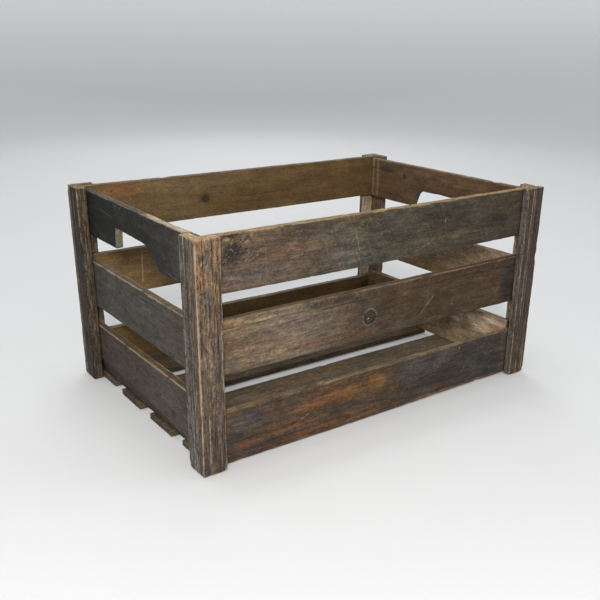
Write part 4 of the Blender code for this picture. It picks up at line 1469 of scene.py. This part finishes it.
# ---------------------------------------------------------------- stage, lights, camera

scene = bpy.context.scene

FLAT_RADII = (0.6, 1.2, 2.0, 2.6)
COVE_RADIUS = 1.4
COVE_STEPS = 14
WALL_HEIGHT = 3.4
FLOOR_SIDES = 96
FLOOR_DROP = 0.0004


def pale_floor():
    """A pale floor that curves up into a pale wall all round."""
    rings = [(radius, 0.0) for radius in FLAT_RADII]
    for k in range(1, COVE_STEPS + 1):
        angle = math.radians(90 * k / COVE_STEPS)
        rings.append((FLAT_RADII[-1] + COVE_RADIUS * math.sin(angle),
                      COVE_RADIUS * (1 - math.cos(angle))))
    rings.append((FLAT_RADII[-1] + COVE_RADIUS, WALL_HEIGHT))
    points = [(0, 0, 0)]
    for radius, z in rings:
        for i in range(FLOOR_SIDES):
            angle = 2 * math.pi * i / FLOOR_SIDES
            points.append((radius * math.cos(angle), radius * math.sin(angle), z))
    faces = [(0, 1 + i, 1 + (i + 1) % FLOOR_SIDES) for i in range(FLOOR_SIDES)]
    for k in range(len(rings) - 1):
        inner = 1 + k * FLOOR_SIDES
        outer = inner + FLOOR_SIDES
        for i in range(FLOOR_SIDES):
            j = (i + 1) % FLOOR_SIDES
            faces.append((inner + i, outer + i, outer + j, inner + j))
    mesh = bpy.data.meshes.new("floor")
    mesh.from_pydata(points, [], faces)
    mesh.polygons.foreach_set("use_smooth", np.ones(len(mesh.polygons), bool))
    obj = bpy.data.objects.new("floor", mesh)
    scene.collection.objects.link(obj)
    obj.location.z = -FLOOR_DROP
    mesh.materials.append(floor_paper())
    obj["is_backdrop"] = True


def floor_paper():
    """Matt pale paper, glowing a little more with height."""
    material = bpy.data.materials.new("floor_paper")
    material.use_nodes = True
    shader = material.node_tree.nodes["Principled BSDF"]
    shader.inputs["Base Color"].default_value = (0.69, 0.695, 0.70, 1)
    shader.inputs["Roughness"].default_value = 0.9
    shader.inputs["Specular IOR Level"].default_value = 0.2
    shader.inputs["Emission Color"].default_value = (0.95, 0.97, 1.0, 1)
    graph = Graph(material.node_tree)
    height = graph.split("ShaderNodeSeparateXYZ", graph.position())[2]
    glow = height.remap(0.0, 1.0, to_low=0.0, to_high=0.30)
    graph.put(shader.inputs["Emission Strength"], glow)
    return material


def area_light(name, place, size, power, colour):
    """A round light aimed at the crate."""
    light = bpy.data.lights.new(name, "AREA")
    light.shape = "DISK"
    light.size = size
    light.energy = power
    light.color = colour
    obj = bpy.data.objects.new(name, light)
    scene.collection.objects.link(obj)
    obj.location = place
    aim = Vector((0, 0, 0.1)) - Vector(place)
    obj.rotation_euler = aim.to_track_quat("-Z", "Y").to_euler()


pale_floor()
area_light("key", (-1.06, -1.47, 1.02), size=0.42, power=34, colour=(1.0, 0.975, 0.94))
area_light("fill", (1.9, -1.2, 1.5), size=1.4, power=6, colour=(0.96, 0.98, 1.0))
area_light("top", (-0.1, 0.3, 2.4), size=1.8, power=18, colour=(1.0, 0.99, 0.98))
area_light("back", (1.1, 1.9, 1.5), size=1.5, power=13, colour=(0.98, 0.99, 1.0))

world = bpy.data.worlds.new("studio")
scene.world = world
world.use_nodes = True
background = world.node_tree.nodes["Background"]
background.inputs["Color"].default_value = (0.93, 0.96, 1.0, 1)
background.inputs["Strength"].default_value = 0.28

CAMERA_PLACE = (-0.56601, -0.79353, 0.42986)
AZIMUTH = math.radians(-35.90965)  # turn from +Y
ELEVATION = math.radians(21.83251)  # downward tilt
ROLL = math.radians(0.6878)

camera_data = bpy.data.cameras.new("camera")
camera = bpy.data.objects.new("camera", camera_data)
scene.collection.objects.link(camera)
look = Vector((-math.sin(AZIMUTH) * math.cos(ELEVATION),
               math.cos(AZIMUTH) * math.cos(ELEVATION), -math.sin(ELEVATION)))
level_right = Vector((math.cos(AZIMUTH), math.sin(AZIMUTH), 0))
level_up = level_right.cross(look)
right = level_right * math.cos(ROLL) + level_up * math.sin(ROLL)
up = level_up * math.cos(ROLL) - level_right * math.sin(ROLL)
rows = [(right[k], up[k], -look[k], CAMERA_PLACE[k]) for k in range(3)]
camera.matrix_world = Matrix((*rows, (0, 0, 0, 1)))
camera_data.sensor_width = 36
camera_data.lens = 47.4684
camera_data.shift_x = -0.01937
camera_data.shift_y = 0.07378
camera_data.clip_start = 0.02
scene.camera = camera
scene.view_settings.view_transform = "Standard"

bpy.context.view_layer.update()
low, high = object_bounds()
